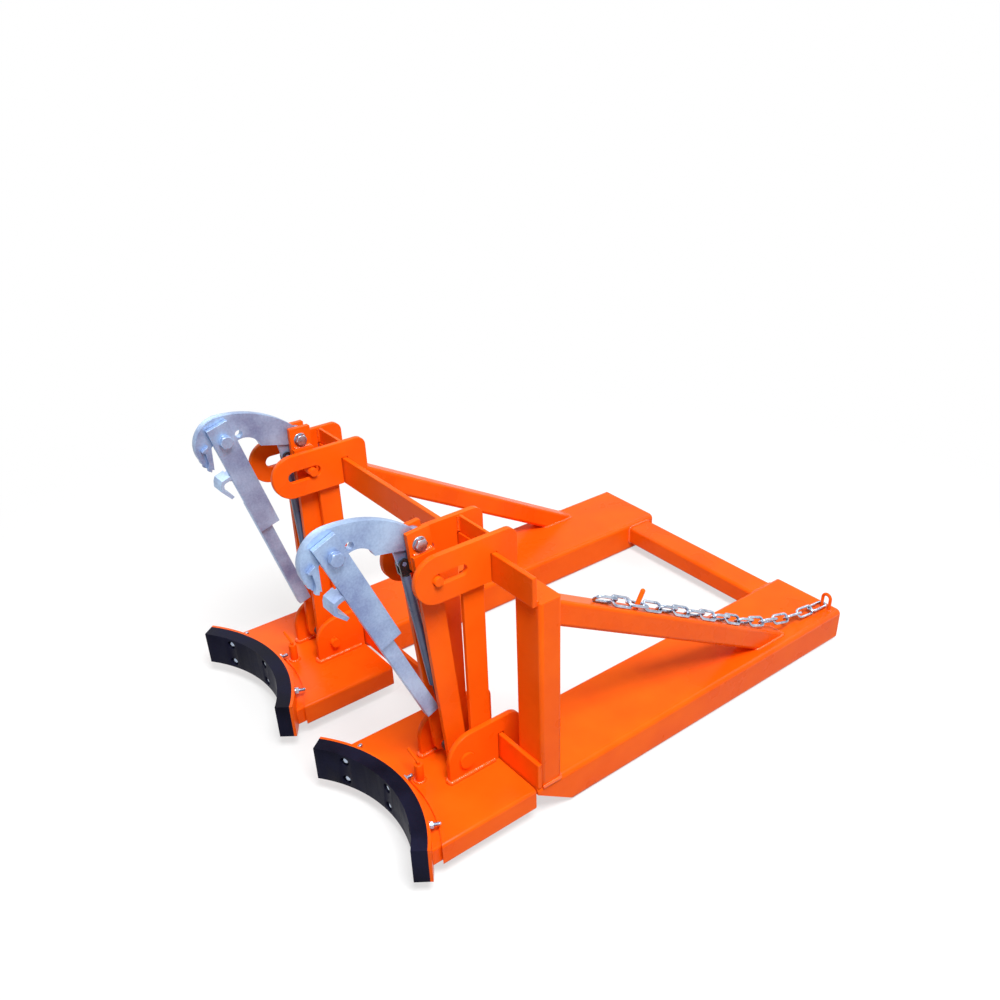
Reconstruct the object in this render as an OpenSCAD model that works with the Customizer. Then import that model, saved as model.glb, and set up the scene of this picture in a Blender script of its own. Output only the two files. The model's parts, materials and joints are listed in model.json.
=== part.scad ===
// Fork-mounted drum lifter with two gripping heads.
// A welded frame of two fork sleeves, posts, braces and cross bars carries two heads.
// Each head hangs over both cross bars and holds a curved rubber pad, a leaning arm,
// a gas spring and a beak with a clamping lever that takes the rim of a drum.
// The drums stand on the -Y side, the forks enter from +Y, and the floor is at Z = 0.

/* [Fork frame] */
// Width over the outer sides of the two fork sleeves
frame_w = 864; // [820:1:960]
// Length of a fork sleeve from its nose to its mouth
sleeve_len = 970; // [900:1:1100]
// Outer width of a fork sleeve
sleeve_w = 204; // [180:1:230]
// Outer height of a fork sleeve
sleeve_h = 85; // [75:1:100]
// Wall of a fork sleeve
sleeve_wall = 6; // [4:0.5:8]
// Outer corner radius of a fork sleeve
sleeve_r = 12; // [9:0.5:15]
// Length of the slope under the nose of a sleeve
nose_run = 100; // [70:1:130]
// Height of the upright face above the nose slope
nose_face = 15; // [12:0.5:24]
// Chamfer under the mouth of a sleeve
mouth_chamfer = 8; // [2:0.5:12]
// Size of the rear cross tube along the forks
cross_w = 75; // [50:1:100]
// Height of the rear cross tube
cross_h = 50; // [40:1:60]
// Distance of the cross tube from the mouth of the sleeves
cross_setback = 17; // [5:1:60]
// Distance of the cross tube's top below the top of the sleeves
cross_drop = 10; // [8:0.5:14]
// Width of a post across the frame
post_w = 75; // [60:1:90]
// Depth of a post along the forks
post_d = 50; // [40:1:60]
// Height of a post above its sleeve
post_h = 423; // [400:1:470]
// Wall of the posts, the braces and the cross tube
tube_wall = 5; // [3:0.5:6]
// Outer corner radius of the posts, the braces and the cross tube
tube_r = 8; // [6.5:0.5:10]
// Side of the square brace tube
brace_side = 50; // [40:1:60]
// Slope of the braces in degrees
brace_slope = 29; // [27:0.5:33]
// Distance of the brace's top edge below the top of the post
brace_drop = 22; // [10:1:60]
// Offset of the left brace towards the outer side of its post
brace_offset_left = 12; // [0:0.5:25]
// Thickness of the cross bars that carry the heads
bar_t = 10; // [8:0.5:14]
// Height of the cross bars
bar_h = 60; // [50:1:70]
// Lap of the upper bar on the front of the posts
bar_lap = 7; // [4:0.5:14]
// Distance of the upper bar's ends from the outer sides of the posts
bar_end_inset = 8; // [0:0.5:20]

/* [Safety chain] */
// Wire of the chain
chain_wire = 6.5; // [5:0.1:8]
// Pitch of the chain
chain_pitch = 50; // [44:0.5:60]
// Outer width of a chain link
chain_w = 27; // [25:0.5:32]
// Number of links in the chain
chain_links = 17; // [16:1:18]
// Link that is hooked over the horn, counted from the eye
horn_link = 14; // [13:1:15]
// Distance of the chain from the outer side of its sleeve
chain_inset = 42; // [36:1:54]
// Angle between the end of the hanging chain and the line to the eye
chain_sag = 12; // [10:0.5:13]
// Rod of the chain eye
eye_rod = 8; // [6:0.5:10]
// Width between the legs of the chain eye, centre to centre
eye_w = 22; // [20:0.5:28]
// Height of the chain eye above the sleeve
eye_h = 45; // [36:0.5:55]
// Distance of the chain eye from the mouth of the sleeve
eye_setback = 22; // [14:1:60]
// Rod of the chain horn
horn_rod = 10; // [6:0.5:11]
// Height of the chain horn above the brace
horn_h = 40; // [30:1:60]

/* [Head] */
// Distance from the outer side of a sleeve to the middle of the nearest head
head_inset = 172; // [160:1:184]
// Place of the heads' common middle across the frame
head_shift = -7; // [-25:0.5:25]
// Width over the outer faces of a head's plates
head_w = 114; // [108:0.5:124]
// Thickness of the head plates and bracket plates
plate_t = 12; // [10:0.5:14]
// Height of the head plates
head_h = 93; // [86:0.5:104]
// Distance from the front end of the head plates to the cross bar
head_reach = 160; // [150:0.5:180]
// Length of the head plates behind the cross bar
head_tail = 47; // [35:0.5:60]
// Height of the head plates above the upper bar
head_rise = 36; // [32:0.5:42]
// Radius of the rear corners of the head plates
head_corner_r = 20; // [8:0.5:20]
// Width of the slot for the guide pin
slot_w = 24; // [22:0.5:28]
// Distance between the end centres of the guide slot
slot_len = 49; // [40:0.5:50]
// Thickness of the plate that bears on the upper bar
spacer_t = 6; // [4:0.5:9]
// Width of a mast bar along the forks
mast_w = 46.5; // [40:0.5:52]
// Distance from the cross bars to the mast bars
mast_gap = 10.5; // [3:0.5:12]
// Thickness of a mast bar
mast_t = 10; // [8:0.5:12]
// Play between the heads and the cross bars
bar_play = 2.5; // [1.5:0.1:3]
// Gap between the heads and the top of the upper bar
seat_gap = 0.3; // [0.2:0.05:0.5]
// Height of the bracket plates above the saddle
bracket_h = 100; // [90:0.5:110]
// Distance from the pivot pin to the front of the bracket plates
bracket_nose = 40; // [34:0.5:46]
// Radius of the front shoulder of the bracket plates
bracket_front_r = 55; // [40:0.5:60]
// Radius of the rear shoulder of the bracket plates
bracket_rear_r = 30; // [10:0.5:34]

/* [Saddle and pad] */
// Width of the saddle box
saddle_w = 354; // [342:1:366]
// Height of the saddle box
saddle_h = 52; // [48:0.5:56]
// Wall of the saddle box
saddle_wall = 5; // [4:0.5:6]
// Corner radius of the saddle box
saddle_r = 8; // [7:0.5:10]
// Height of the saddle above the floor
saddle_lift = 32; // [31:0.5:33]
// Distance from the cross bars to the front curve of the saddle
saddle_reach = 175; // [170:0.5:190]
// Wall of the sliding box inside the saddle
slide_wall = 4; // [3:0.5:5]
// Side play of the sliding box in the saddle
slide_play = 2; // [1:0.1:4]
// Play of the sliding box above and below
slide_lift_play = 0.3; // [0.2:0.05:0.6]
// Radius of the drum that the pads take
drum_r = 290; // [285:1:300]
// Half of the angle that a pad covers, in degrees
pad_half_angle = 37.5; // [34:0.5:38]
// Thickness of the rubber pad
pad_t = 30; // [26:0.5:32]
// Height of the rubber pad
pad_h = 80; // [78:0.5:86]
// Height of the pad's foot above the saddle's foot
pad_rise = 4; // [2:0.5:6]
// Thickness of the curved plate behind the pad
pad_plate_t = 6; // [5:0.5:8]
// Gap between the curved plate and the saddle
pad_gap = 18; // [18:0.5:26]
// Diameter of the pad bolts
pad_bolt_d = 8; // [6:0.5:8]
// Distance between the two rows of pad bolts
pad_bolt_rows = 47; // [44:0.5:50]
// Angle between the columns of pad bolts, in degrees
pad_bolt_step = 24; // [20:0.5:27]
// Travel of the pad away from the saddle
pad_travel = 70; // [40:1:80]
// Diameter of the lock pin
lock_d = 6; // [5:0.5:9]
// Diameter of the lock pin's boss
boss_d = 18; // [15:0.5:22]
// Height of the lock pin's boss
boss_h = 42; // [30:0.5:50]
// Distance of the lock pin from the front curve of the saddle
boss_setback = 16; // [14:0.5:20]
// Distance of the lock pin from the middle of the saddle, to the right
lock_offset = 6.5; // [0:0.5:12]
// Length of the lock pin's bent handle
lock_handle = 36; // [25:0.5:45]

/* [Arm and beak] */
// Distance of the pivot pin in front of the cross bars
pivot_reach = 80; // [76:0.5:84]
// Height of the pivot pin above the saddle
pivot_rise = 42; // [36:0.5:48]
// Diameter of the pivot pin
pivot_d = 20; // [16:0.5:22]
// Diameter of the pivot pin's head
pivot_head_d = 34; // [28:0.5:38]
// Diameter of the guide pin
guide_d = 18; // [14:0.5:20]
// Gap between the right arm's guide pin and the front end of its slot
arm_rest_right = 0.87; // [0.5:0.01:2]
// Lean of the left arm in degrees, forwards positive
arm_lean_left = -1.2; // [-1.5:0.1:2]
// Width of an arm bar
arm_w = 44; // [38:0.5:46]
// Thickness of an arm bar
arm_t = 10; // [8:0.5:11]
// Length of the arm bars above the guide pin
arm_over = 42.2; // [40:0.1:46]
// Thickness of the arm lugs
lug_t = 10; // [8:0.5:12]
// Width of the arm lugs
lug_w = 46; // [40:0.5:48]
// Distance from the beak bolt to the top of the lugs
lug_rise = 25; // [22:0.5:30]
// Length of a lug below the top of its arm bar
lug_lap = 30; // [25:0.5:33]
// Distance of the beak bolt above the top of the arm bars
beak_bolt_over = 18; // [16:0.5:22]
// Distance of the beak bolt in front of the arm's middle
beak_bolt_fore = 2; // [0:0.5:5]
// Thread diameter of the beak bolt
bolt_d = 14; // [12:0.5:16]
// Thread diameter of the lever bolt
lever_bolt_d = 16; // [14:0.5:18]
// Thickness of the beak plate
beak_t = 16; // [14:0.5:18]
// Distance from the beak bolt to the middle of the beak's nose
nose_fore = 156; // [152:0.5:162]
// Height of the middle of the beak's nose over the beak bolt
nose_up = 22; // [18:0.5:26]
// Radius of the beak's nose
nose_r = 56; // [54:0.5:60]
// Radius of the beak's back
beak_back_r = 222; // [210:1:240]
// Width of the beak's throat
throat_w = 71; // [66:0.5:74]
// Width of the claw on the tip of the beak
claw_w = 32; // [24:0.5:36]
// Play between the beak and the plates on its sides
beak_play = 1; // [0.5:0.1:1.5]
// Tilt of the right beak in degrees, nose down positive
beak_tilt_right = 0; // [-2:0.1:0]
// Tilt of the left beak in degrees, nose down positive
beak_tilt_left = -3; // [-4:0.1:-2]

/* [Lever and spring] */
// Gap between the foot of the right lever and its gas spring
lever_rest_right = 1.5; // [1:0.1:12]
// Gap between the foot of the left lever and its gas spring
lever_rest_left = 8.8; // [8.8:0.1:12]
// Thickness of the lever plate
lever_t = 10; // [8:0.5:12]
// Gap between the beak and the lever plate
lever_gap = 1; // [0.5:0.1:1.5]
// Width of the lever plate
lever_w = 46; // [44:0.5:50]
// Length of the lever plate above the lever bolt
lever_head = 35.5; // [32:0.5:40]
// Length of the lever plate below the lever bolt
lever_len = 219; // [210:1:236]
// Distance from the lever bolt to the foot of the lever bar
lever_foot = 440; // [425:1:455]
// Width of the lever bar
lever_bar_w = 28; // [24:0.5:32]
// Thickness of the lever bar
lever_bar_t = 16; // [12:0.5:18]
// Lap of the lever bar behind the plate
lever_lap = 67; // [40:1:75]
// Width of the jaw on the front of the lever
jaw_w = 36; // [30:0.5:40]
// Distance of the spring's upper pin in front of the beak bolt
spring_pin_fore = 25; // [22:0.5:28]
// Distance of the spring's upper pin below the beak bolt
spring_pin_down = 37; // [34:0.5:40]
// Diameter of the gas spring's barrel
barrel_d = 18; // [15:0.5:18]
// Length of the gas spring's barrel
barrel_len = 260; // [220:1:280]
// Diameter of the gas spring's rod
rod_d = 8; // [6:0.5:10]
// Diameter of the spring's upper pin
spring_pin_d = 8; // [6:0.5:9]

/* [Hidden] */
$fn = 64;
// Radial running clearance of a pin in its bore
fit = 0.05;
// Radial clearance of a bolt in its hole
hole_play = 0.4;
// Small step that carries a cut past a face
past = 1;
orange = [0.95, 0.36, 0.08];
galvanised = [0.70, 0.74, 0.80];
zinc = [0.80, 0.82, 0.85];
rubber_black = [0.07, 0.07, 0.09];
spring_grey = [0.50, 0.53, 0.58];
spring_black = [0.10, 0.10, 0.11];

// Frame places
sleeve_x = (frame_w - sleeve_w) / 2;
sleeve_front = -bar_t;
sleeve_rear = sleeve_front + sleeve_len;
post_x = (frame_w - post_w) / 2;
post_top = sleeve_h + post_h;
upper_bar_z = post_top - bar_lap;
upper_bar_top = upper_bar_z + bar_h;
cross_len = frame_w - 2 * sleeve_w;
cross_rear = sleeve_rear - cross_setback;
brace_x = frame_w / 2 - post_w + brace_side / 2;
brace_left_x = brace_x + brace_offset_left;
brace_top = post_top - brace_drop;
nose_angle = atan2(sleeve_h - nose_face, nose_run);

// Head places
head_x = frame_w / 2 - head_inset;
plate_in = head_w / 2 - plate_t;
head_top = upper_bar_top + head_rise;
head_mid_z = head_top - head_h / 2;
bar_front = -bar_t;
head_front = bar_front - head_reach;
slot_front = head_front + head_h / 2;
saddle_top = saddle_lift + saddle_h;
saddle_mid = saddle_lift + saddle_h / 2;
saddle_rear = bar_front - bar_play - 0.5;
saddle_arc = bar_front - saddle_reach;
mast_rear = bar_front - mast_gap;
mast_in = plate_in - mast_t;
mast_top = head_top - 0.65 * head_h;
bracket_top = saddle_top + bracket_h;
bracket_foot = sleeve_h + 3;

// Pad places
plate_back_r = drum_r + pad_t + pad_plate_t;
saddle_arc_r = plate_back_r + pad_gap;
drum_y = saddle_arc - saddle_arc_r;
pad_z = saddle_lift + pad_rise;
pad_mid = pad_z + pad_h / 2;
slide_h = saddle_h - 2 * saddle_wall - 2 * slide_lift_play;
slide_w = saddle_w - 2 * saddle_wall - 2 * slide_play;
slide_top = saddle_mid + slide_h / 2;
slide_rear = saddle_rear - saddle_wall - 15;
lock_y = saddle_arc + boss_setback;
lock_tip = 9;
lock_handle_rise = 20;
pad_bolt_recess = 6;
pad_bolt_head_d = 15;
pad_bolt_head_h = 4;
pad_bolt_nut_h = 6.5;
pad_bolt_end = 22;
pad_bolt_washer_d = 13;

// Arm places
pivot_y = bar_front - pivot_reach;
pivot_z = saddle_top + pivot_rise;
beak_half = beak_t / 2;
lug_in = beak_half + beak_play;
arm_in = lug_in + lug_t;
arm_out = arm_in + arm_t;
guide_lift = 1.3;
guide_up = head_mid_z - pivot_z + guide_lift;
guide_end = head_w / 2 + 7;
guide_rest_y = slot_front - slot_w / 2 + guide_d / 2 + arm_rest_right;
arm_lean_right = asin((pivot_y - guide_rest_y) / guide_up);
arm_len = guide_up + arm_over;
beak_bolt_up = arm_len + beak_bolt_over;
lug_foot = arm_len - lug_lap;
lug_top = beak_bolt_up + lug_rise;
bolt_tail = 4;
pivot_head_t = 6;
pivot_tail = 12;
split_pin_d = 3.2;
split_pin_len = 34;

// Beak outline, forwards and upwards from the beak bolt
back_shift = 8;
back_fore = nose_fore - back_shift;
back_up = nose_up - sqrt(pow(beak_back_r - nose_r, 2) - pow(nose_fore - back_fore, 2));
beak_heel_r = 22;
throat_ahead = 25;
throat_drop = 14;
throat_front = nose_fore + throat_ahead;
throat_rear = throat_front - throat_w;
throat_roof = nose_up - throat_drop;
lever_ahead = 1;
lever_lift = 9;
lever_fore = nose_fore + lever_ahead;
lever_up = nose_up + lever_lift;
slit_r = 5.5;
slit_fore = throat_front - slit_r;
slit_up = nose_up - slit_r;
notch_r = 8;
notch_back = 33;
notch_lift = 13;
notch_fore = nose_fore - notch_back;
notch_up = nose_up + notch_lift;
belly_r = 36;
belly_back = 43;
belly_drop = 33;
belly_fore = nose_fore - belly_back;
belly_up = nose_up - belly_drop;
tip_ahead = 31;
tip_drop = 54;
tip_fore = nose_fore + tip_ahead;
tip_down = nose_up - tip_drop;
heel_drop = 8;
tab_drop = 10;
tip_shoulder = 34;
tip_cut = 9;
tip_chamfer = 18;
claw_ahead = 3.5;
claw_top = 5;
claw_brow = 9.5;
claw_knee = 30.5;
claw_foot = 50;
claw_t = 8.5;
claw_reach = 19.5;
tab_half = 3;
tab_r = 10;

// Lever places
lever_in = beak_half + lever_gap;
lever_out = lever_in + lever_t;
lever_front = -lever_w / 2;
lever_bar_front = lever_front + 2;
lever_bar_rear = lever_bar_front + lever_bar_w;
lever_bar_top = lever_len - lever_lap;
lever_corner = norm([lever_bar_rear, lever_foot]);
jaw_top = 72;
jaw_lip = 31;
jaw_t = 8;
jaw_h = 46;
jaw_root = 8;
lever_side_play = 0.3;

// Spring places
fork_in = tab_half + 0.4;
fork_out = lug_in - 1.2;
fork_r = 10;
fork_play = 0.9;
rod_eye_r = 15;
rod_eye_half = 8;
fork_neck = 12;
rod_socket = 22;
rod_in_barrel = 60;
barrel_bore_len = 90;

// Chain places
chain_x = frame_w / 2 - chain_inset;
link_r = (chain_w - chain_wire) / 2;
link_play = 0.8;
link_half = (chain_pitch + link_play + chain_wire) / 2 - link_r;
link_roll = 45;
chain_over = (chain_w - chain_wire) / 2 * sin(link_roll) + chain_wire / 2 + 0.3;
eye_y = sleeve_rear - eye_setback;
chain_start_slope = brace_slope - 2 * chain_sag;
chain_first = link_half + link_r - chain_wire / 2 - eye_rod / 2 - 0.3;
chain_y0 = eye_y - chain_first * cos(chain_start_slope);
chain_z0 = sleeve_h + 4 + chain_wire / 2 + (link_half + link_r) * sin(chain_start_slope);
chain_line_z = brace_top + chain_over / cos(brace_slope);
// The hanging stretch leaves the brace where the line to the eye has its mean slope
chain_leave_y = (chain_line_z + post_d * tan(brace_slope) - chain_z0
    - chain_y0 * tan(brace_slope - chain_sag)) / (tan(brace_slope) - tan(brace_slope - chain_sag));
chain_chord = (chain_y0 - chain_leave_y) / cos(brace_slope - chain_sag);
chain_arc_r = chain_chord / 2 / sin(chain_sag);
chain_arc_len = chain_arc_r * 2 * chain_sag * PI / 180;

// The part's middle along the forks, between the right beak's nose and the sleeve mouths
right_beak_y = pivot_y - beak_bolt_up * sin(arm_lean_right) - beak_bolt_fore * cos(arm_lean_right);
part_front = right_beak_y - nose_fore - nose_r;
part_mid = (part_front + sleeve_rear) / 2;

HEAD_NODES = ["saddle", "bracket_plates", "mast_bars", "head_plates", "head_spacer", "pivot_pin",
    "lock_boss", "lock_pin", "slide_box", "pad_plate", "rubber_pad", "pad_bolts", "arm_bars",
    "arm_lugs", "guide_pin", "beak_bolt", "beak_hook", "beak_claw", "lever_plate", "lever_jaw",
    "lever_bar", "lever_bolt", "spring_barrel", "spring_rod"];

// Moves the part's middle to the origin
module in_part() {
    translate([-head_shift, -part_mid, 0]) children();
}

// Extrudes an outline drawn in Y and Z, centred on X
module side_plate(t) {
    rotate([90, 0, 90]) linear_extrude(t, center = true) children();
}

// The same plate twice, with its faces between two distances from the middle
module plate_pair(inner, outer) {
    for (s = [-1, 1]) translate([s * (inner + outer) / 2, 0, 0]) side_plate(outer - inner) children();
}

// Rectangle with round corners, centred
module round_rect(w, h, r) {
    square([w - 2 * r, h], center = true);
    square([w, h - 2 * r], center = true);
    for (x = [-1, 1], y = [-1, 1]) translate([x * (w / 2 - r), y * (h / 2 - r)]) circle(r);
}

// Rectangular tube along Y, its middle on the axis
module tube_y(w, h, r, wall, len) {
    rotate([-90, 0, 0]) linear_extrude(len) difference() {
        round_rect(w, h, r);
        round_rect(w - 2 * wall, h - 2 * wall, r - wall);
    }
}

// Rod along X between two places
module rod_x(d, x0, x1) {
    translate([x0, 0, 0]) rotate([0, 90, 0]) cylinder(d = d, h = x1 - x0);
}

// Hexagon bolt along X with its nut outside x0 and its head outside x1
module hex_bolt_x(d, x0, x1) {
    corners = 1.5 * d / cos(30);
    nut_h = 0.8 * d;
    rod_x(d, x0 - nut_h - bolt_tail, x1);
    translate([x1, 0, 0]) rotate([0, 90, 0]) cylinder(d = corners, h = 0.62 * d, $fn = 6);
    translate([x0 - nut_h, 0, 0]) rotate([0, 90, 0]) cylinder(d = corners, h = nut_h, $fn = 6);
}

// Places what is drawn about a head's middle on one of the two heads
module on_head(side) {
    in_part() translate([side * head_x + head_shift, 0, 0]) children();
}

// Places what is drawn upright on the pivot pin on the leaning arm
module on_arm(lean) {
    translate([0, pivot_y, pivot_z]) rotate([lean, 0, 0]) children();
}

// Place of the beak bolt for an arm that leans
function beak_place(lean) = [0,
    pivot_y - beak_bolt_up * sin(lean) - beak_bolt_fore * cos(lean),
    pivot_z + beak_bolt_up * cos(lean) - beak_bolt_fore * sin(lean)];
function arm_lean(side) = side > 0 ? arm_lean_right : arm_lean_left;
function beak_tilt(side) = side > 0 ? beak_tilt_right : beak_tilt_left;

// Place of a point of the beak, forwards and upwards from its bolt, on a tilted beak
function on_beak(side, fore, up) = beak_place(arm_lean(side)) + [0,
    -fore * cos(beak_tilt(side)) - up * sin(beak_tilt(side)),
    up * cos(beak_tilt(side)) - fore * sin(beak_tilt(side))];
function lever_place(side) = on_beak(side, lever_fore, lever_up);
function spring_vector(side) = on_beak(side, spring_pin_fore, -spring_pin_down) - [0, pivot_y, pivot_z];
function spring_len(side) = norm(spring_vector(side));
function spring_lean(side) = atan2(-spring_vector(side)[1], spring_vector(side)[2]);

// Lean of a lever whose foot stands a gap in front of the rod of its gas spring
function lever_reach(side) = (pivot_y - lever_place(side)[1]) * cos(spring_lean(side))
    + (pivot_z - lever_place(side)[2]) * sin(spring_lean(side));
function lever_rest(side) = rod_d / 2 + (side > 0 ? lever_rest_right : lever_rest_left);
function lever_lean(side) = spring_lean(side) + asin((lever_reach(side) - lever_rest(side)) / lever_corner)
    - atan2(lever_bar_rear, lever_foot);

// Fork frame

module fork_sleeve(side) {
    slope_shift = sleeve_wall / sin(nose_angle);
    slope_h = sleeve_h - nose_face;
    inner_z = slope_h * (1 - (sleeve_wall - slope_shift) / nose_run);
    color(orange) in_part() translate([side * sleeve_x, 0, 0]) difference() {
        intersection() {
            translate([0, sleeve_front, sleeve_h / 2]) rotate([-90, 0, 0])
                linear_extrude(sleeve_len) round_rect(sleeve_w, sleeve_h, sleeve_r);
            side_plate(sleeve_w) polygon([[sleeve_front, sleeve_h], [sleeve_front, slope_h],
                [sleeve_front + nose_run, 0], [sleeve_rear - mouth_chamfer, 0],
                [sleeve_rear, mouth_chamfer], [sleeve_rear, sleeve_h]]);
        }
        intersection() {
            translate([0, sleeve_front, sleeve_h / 2]) rotate([-90, 0, 0]) linear_extrude(sleeve_len + past)
                round_rect(sleeve_w - 2 * sleeve_wall, sleeve_h - 2 * sleeve_wall, sleeve_r - sleeve_wall);
            side_plate(sleeve_w) polygon([[sleeve_front + sleeve_wall, sleeve_h],
                [sleeve_front + sleeve_wall, inner_z], [sleeve_front + nose_run + slope_shift, 0],
                [sleeve_rear + past, 0], [sleeve_rear + past, sleeve_h]]);
        }
    }
}

module rear_cross_tube() {
    cross_z = sleeve_h - cross_drop - cross_h / 2;
    color(orange) in_part() translate([-cross_len / 2, cross_rear - cross_w / 2, cross_z])
        rotate([0, 0, -90]) tube_y(cross_w, cross_h, tube_r, tube_wall, cross_len);
}

module post(side) {
    color(orange) in_part() translate([side * post_x, post_d / 2, sleeve_h]) difference() {
        linear_extrude(post_h) round_rect(post_w, post_d, tube_r);
        translate([0, 0, -past]) linear_extrude(post_h - tube_wall + past)
            round_rect(post_w - 2 * tube_wall, post_d - 2 * tube_wall, tube_r - tube_wall);
    }
}

module brace(side) {
    reach = 2 * post_h;
    place = side > 0 ? brace_x : -brace_left_x;
    color(orange) in_part() intersection() {
        translate([place, post_d, brace_top]) rotate([-brace_slope, 0, 0])
            translate([0, -brace_side, -brace_side / 2])
                tube_y(brace_side, brace_side, tube_r, tube_wall, 3 * reach);
        translate([place - brace_side, post_d, sleeve_h]) cube([2 * brace_side, 3 * reach, reach]);
    }
}

module cross_bar(half, z) {
    color(orange) in_part() translate([-half, bar_front, z]) cube([2 * half, bar_t, bar_h]);
}

module chain_eye() {
    leg = eye_h - eye_rod / 2 - eye_w / 2;
    color(orange) in_part() translate([chain_x + eye_w / 2, eye_y, sleeve_h]) {
        for (s = [-1, 1]) translate([s * eye_w / 2, 0, 0]) cylinder(d = eye_rod, h = leg);
        translate([0, 0, leg]) rotate([90, 0, 0]) rotate_extrude(angle = 180)
            translate([eye_w / 2, 0]) circle(d = eye_rod);
    }
}

// Point and slope of the chain at a distance from its first link, along -Y and Z
function chain_on_arc(s) = s < chain_arc_len;
function chain_slope(s) = chain_on_arc(s) ? chain_start_slope + s / chain_arc_r * 180 / PI : brace_slope;
function chain_arc_point(a) = [
    chain_y0 - chain_arc_r * (sin(a) - sin(chain_start_slope)),
    chain_z0 + chain_arc_r * (cos(chain_start_slope) - cos(a))];
function chain_point(s) = chain_on_arc(s) ? chain_arc_point(chain_slope(s))
    : chain_arc_point(brace_slope) + (s - chain_arc_len) * [-cos(brace_slope), sin(brace_slope)];

// The links lie turned both ways, flat only on the eye's leg and on the horn
function chain_roll(i) = i == 0 || i == horn_link ? 0 : i % 2 == 0 ? -link_roll : link_roll;

module chain_link() {
    for (s = [-1, 1]) {
        translate([s * link_half, 0, 0]) rotate([0, 0, -90 * s]) rotate_extrude(angle = 180)
            translate([link_r, 0]) circle(d = chain_wire, $fn = 24);
        translate([-link_half, s * link_r, 0]) rotate([0, 90, 0])
            cylinder(d = chain_wire, h = 2 * link_half, $fn = 24);
    }
}

module safety_chain() {
    color(zinc) in_part() for (i = [0 : chain_links - 1]) {
        p = chain_point(i * chain_pitch);
        translate([chain_x, p[0], p[1]]) rotate([-chain_slope(i * chain_pitch), 0, 0])
            rotate([0, chain_roll(i), 0]) rotate([0, 0, 90]) chain_link();
    }
}

module chain_horn() {
    p = chain_point(horn_link * chain_pitch);
    root_y = p[0] - chain_over * sin(brace_slope);
    root_z = p[1] - chain_over * cos(brace_slope);
    color(orange) in_part() intersection() {
        translate([chain_x, root_y, root_z]) rotate([-brace_slope, 0, 0]) {
            cylinder(d = horn_rod, h = horn_h);
            translate([0, 0, horn_h]) sphere(d = horn_rod);
        }
        translate([chain_x - horn_rod, root_y - horn_h, 0]) cube([2 * horn_rod, 3 * horn_h, 2 * post_top]);
    }
}

// Head

module head_outline() {
    corner_y = head_tail - head_corner_r;
    difference() {
        union() {
            translate([slot_front, head_mid_z]) circle(head_h / 2);
            translate([slot_front, head_top - head_h]) square([corner_y - slot_front, head_h]);
            translate([slot_front, head_top - head_h + head_corner_r])
                square([head_tail - slot_front, head_h - 2 * head_corner_r]);
            for (z = [head_top - head_h + head_corner_r, head_top - head_corner_r])
                translate([corner_y, z]) circle(head_corner_r);
        }
        translate([slot_front, head_mid_z]) circle(d = slot_w);
        translate([slot_front + slot_len, head_mid_z]) circle(d = slot_w);
        translate([slot_front, head_mid_z - slot_w / 2]) square([slot_len, slot_w]);
        translate([bar_front - bar_play, head_top - head_h - past])
            square([bar_t + 2 * bar_play, upper_bar_top + seat_gap - head_top + head_h + past]);
    }
}

module head_plates(side) {
    color(orange) on_head(side) plate_pair(plate_in, head_w / 2) head_outline();
}

module head_spacer(side) {
    color(orange) on_head(side)
        translate([-plate_in, bar_front + (bar_t - spacer_t) / 2, upper_bar_top + seat_gap])
            cube([2 * plate_in, spacer_t, head_rise - seat_gap - 1]);
}

module mast_bars(side) {
    color(orange) on_head(side) plate_pair(mast_in, plate_in)
        translate([mast_rear - mast_w, saddle_top]) square([mast_w, mast_top - saddle_top]);
}

module bracket_outline() {
    front = pivot_y - bracket_nose;
    difference() {
        union() {
            translate([front, saddle_top]) square([head_tail - front, bracket_h - bracket_front_r]);
            translate([front + bracket_front_r, saddle_top])
                square([head_tail - bracket_rear_r - front - bracket_front_r, bracket_h]);
            translate([front + bracket_front_r, bracket_top - bracket_front_r]) circle(bracket_front_r);
            translate([head_tail - bracket_rear_r, bracket_top - bracket_front_r])
                square([bracket_rear_r, bracket_front_r - bracket_rear_r]);
            translate([head_tail - bracket_rear_r, bracket_top - bracket_rear_r]) circle(bracket_rear_r);
        }
        translate([bar_front - bar_play, saddle_top - past])
            square([bar_t + 2 * bar_play, sleeve_h + bar_h + bar_play - saddle_top + past]);
        translate([bar_front - bar_play, saddle_top - bracket_h])
            square([head_tail + bar_t + bar_play + past, bracket_foot - saddle_top + bracket_h]);
        translate([front - past, saddle_top - bracket_h]) square([head_tail - front + 2 * past, bracket_h]);
        translate([pivot_y, pivot_z]) circle(d = pivot_d + 2 * fit);
    }
}

module bracket_plates(side) {
    color(orange) on_head(side) plate_pair(plate_in, head_w / 2) bracket_outline();
}

module saddle(side) {
    deep = -saddle_rear + -drum_y;
    color(orange) on_head(side) difference() {
        translate([0, drum_y, saddle_mid]) rotate([-90, 0, 0])
            linear_extrude(saddle_rear - drum_y) round_rect(saddle_w, saddle_h, saddle_r);
        translate([0, drum_y - past, saddle_mid]) rotate([-90, 0, 0])
            linear_extrude(saddle_rear - saddle_wall - drum_y + past) round_rect(saddle_w - 2 * saddle_wall,
                saddle_h - 2 * saddle_wall, saddle_r - saddle_wall);
        translate([0, drum_y, saddle_lift - past])
            cylinder(r = saddle_arc_r, h = saddle_h + 2 * past, $fn = 128);
        translate([lock_offset, lock_y, saddle_mid]) cylinder(d = lock_d + 2 * fit, h = saddle_h);
    }
}

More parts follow.
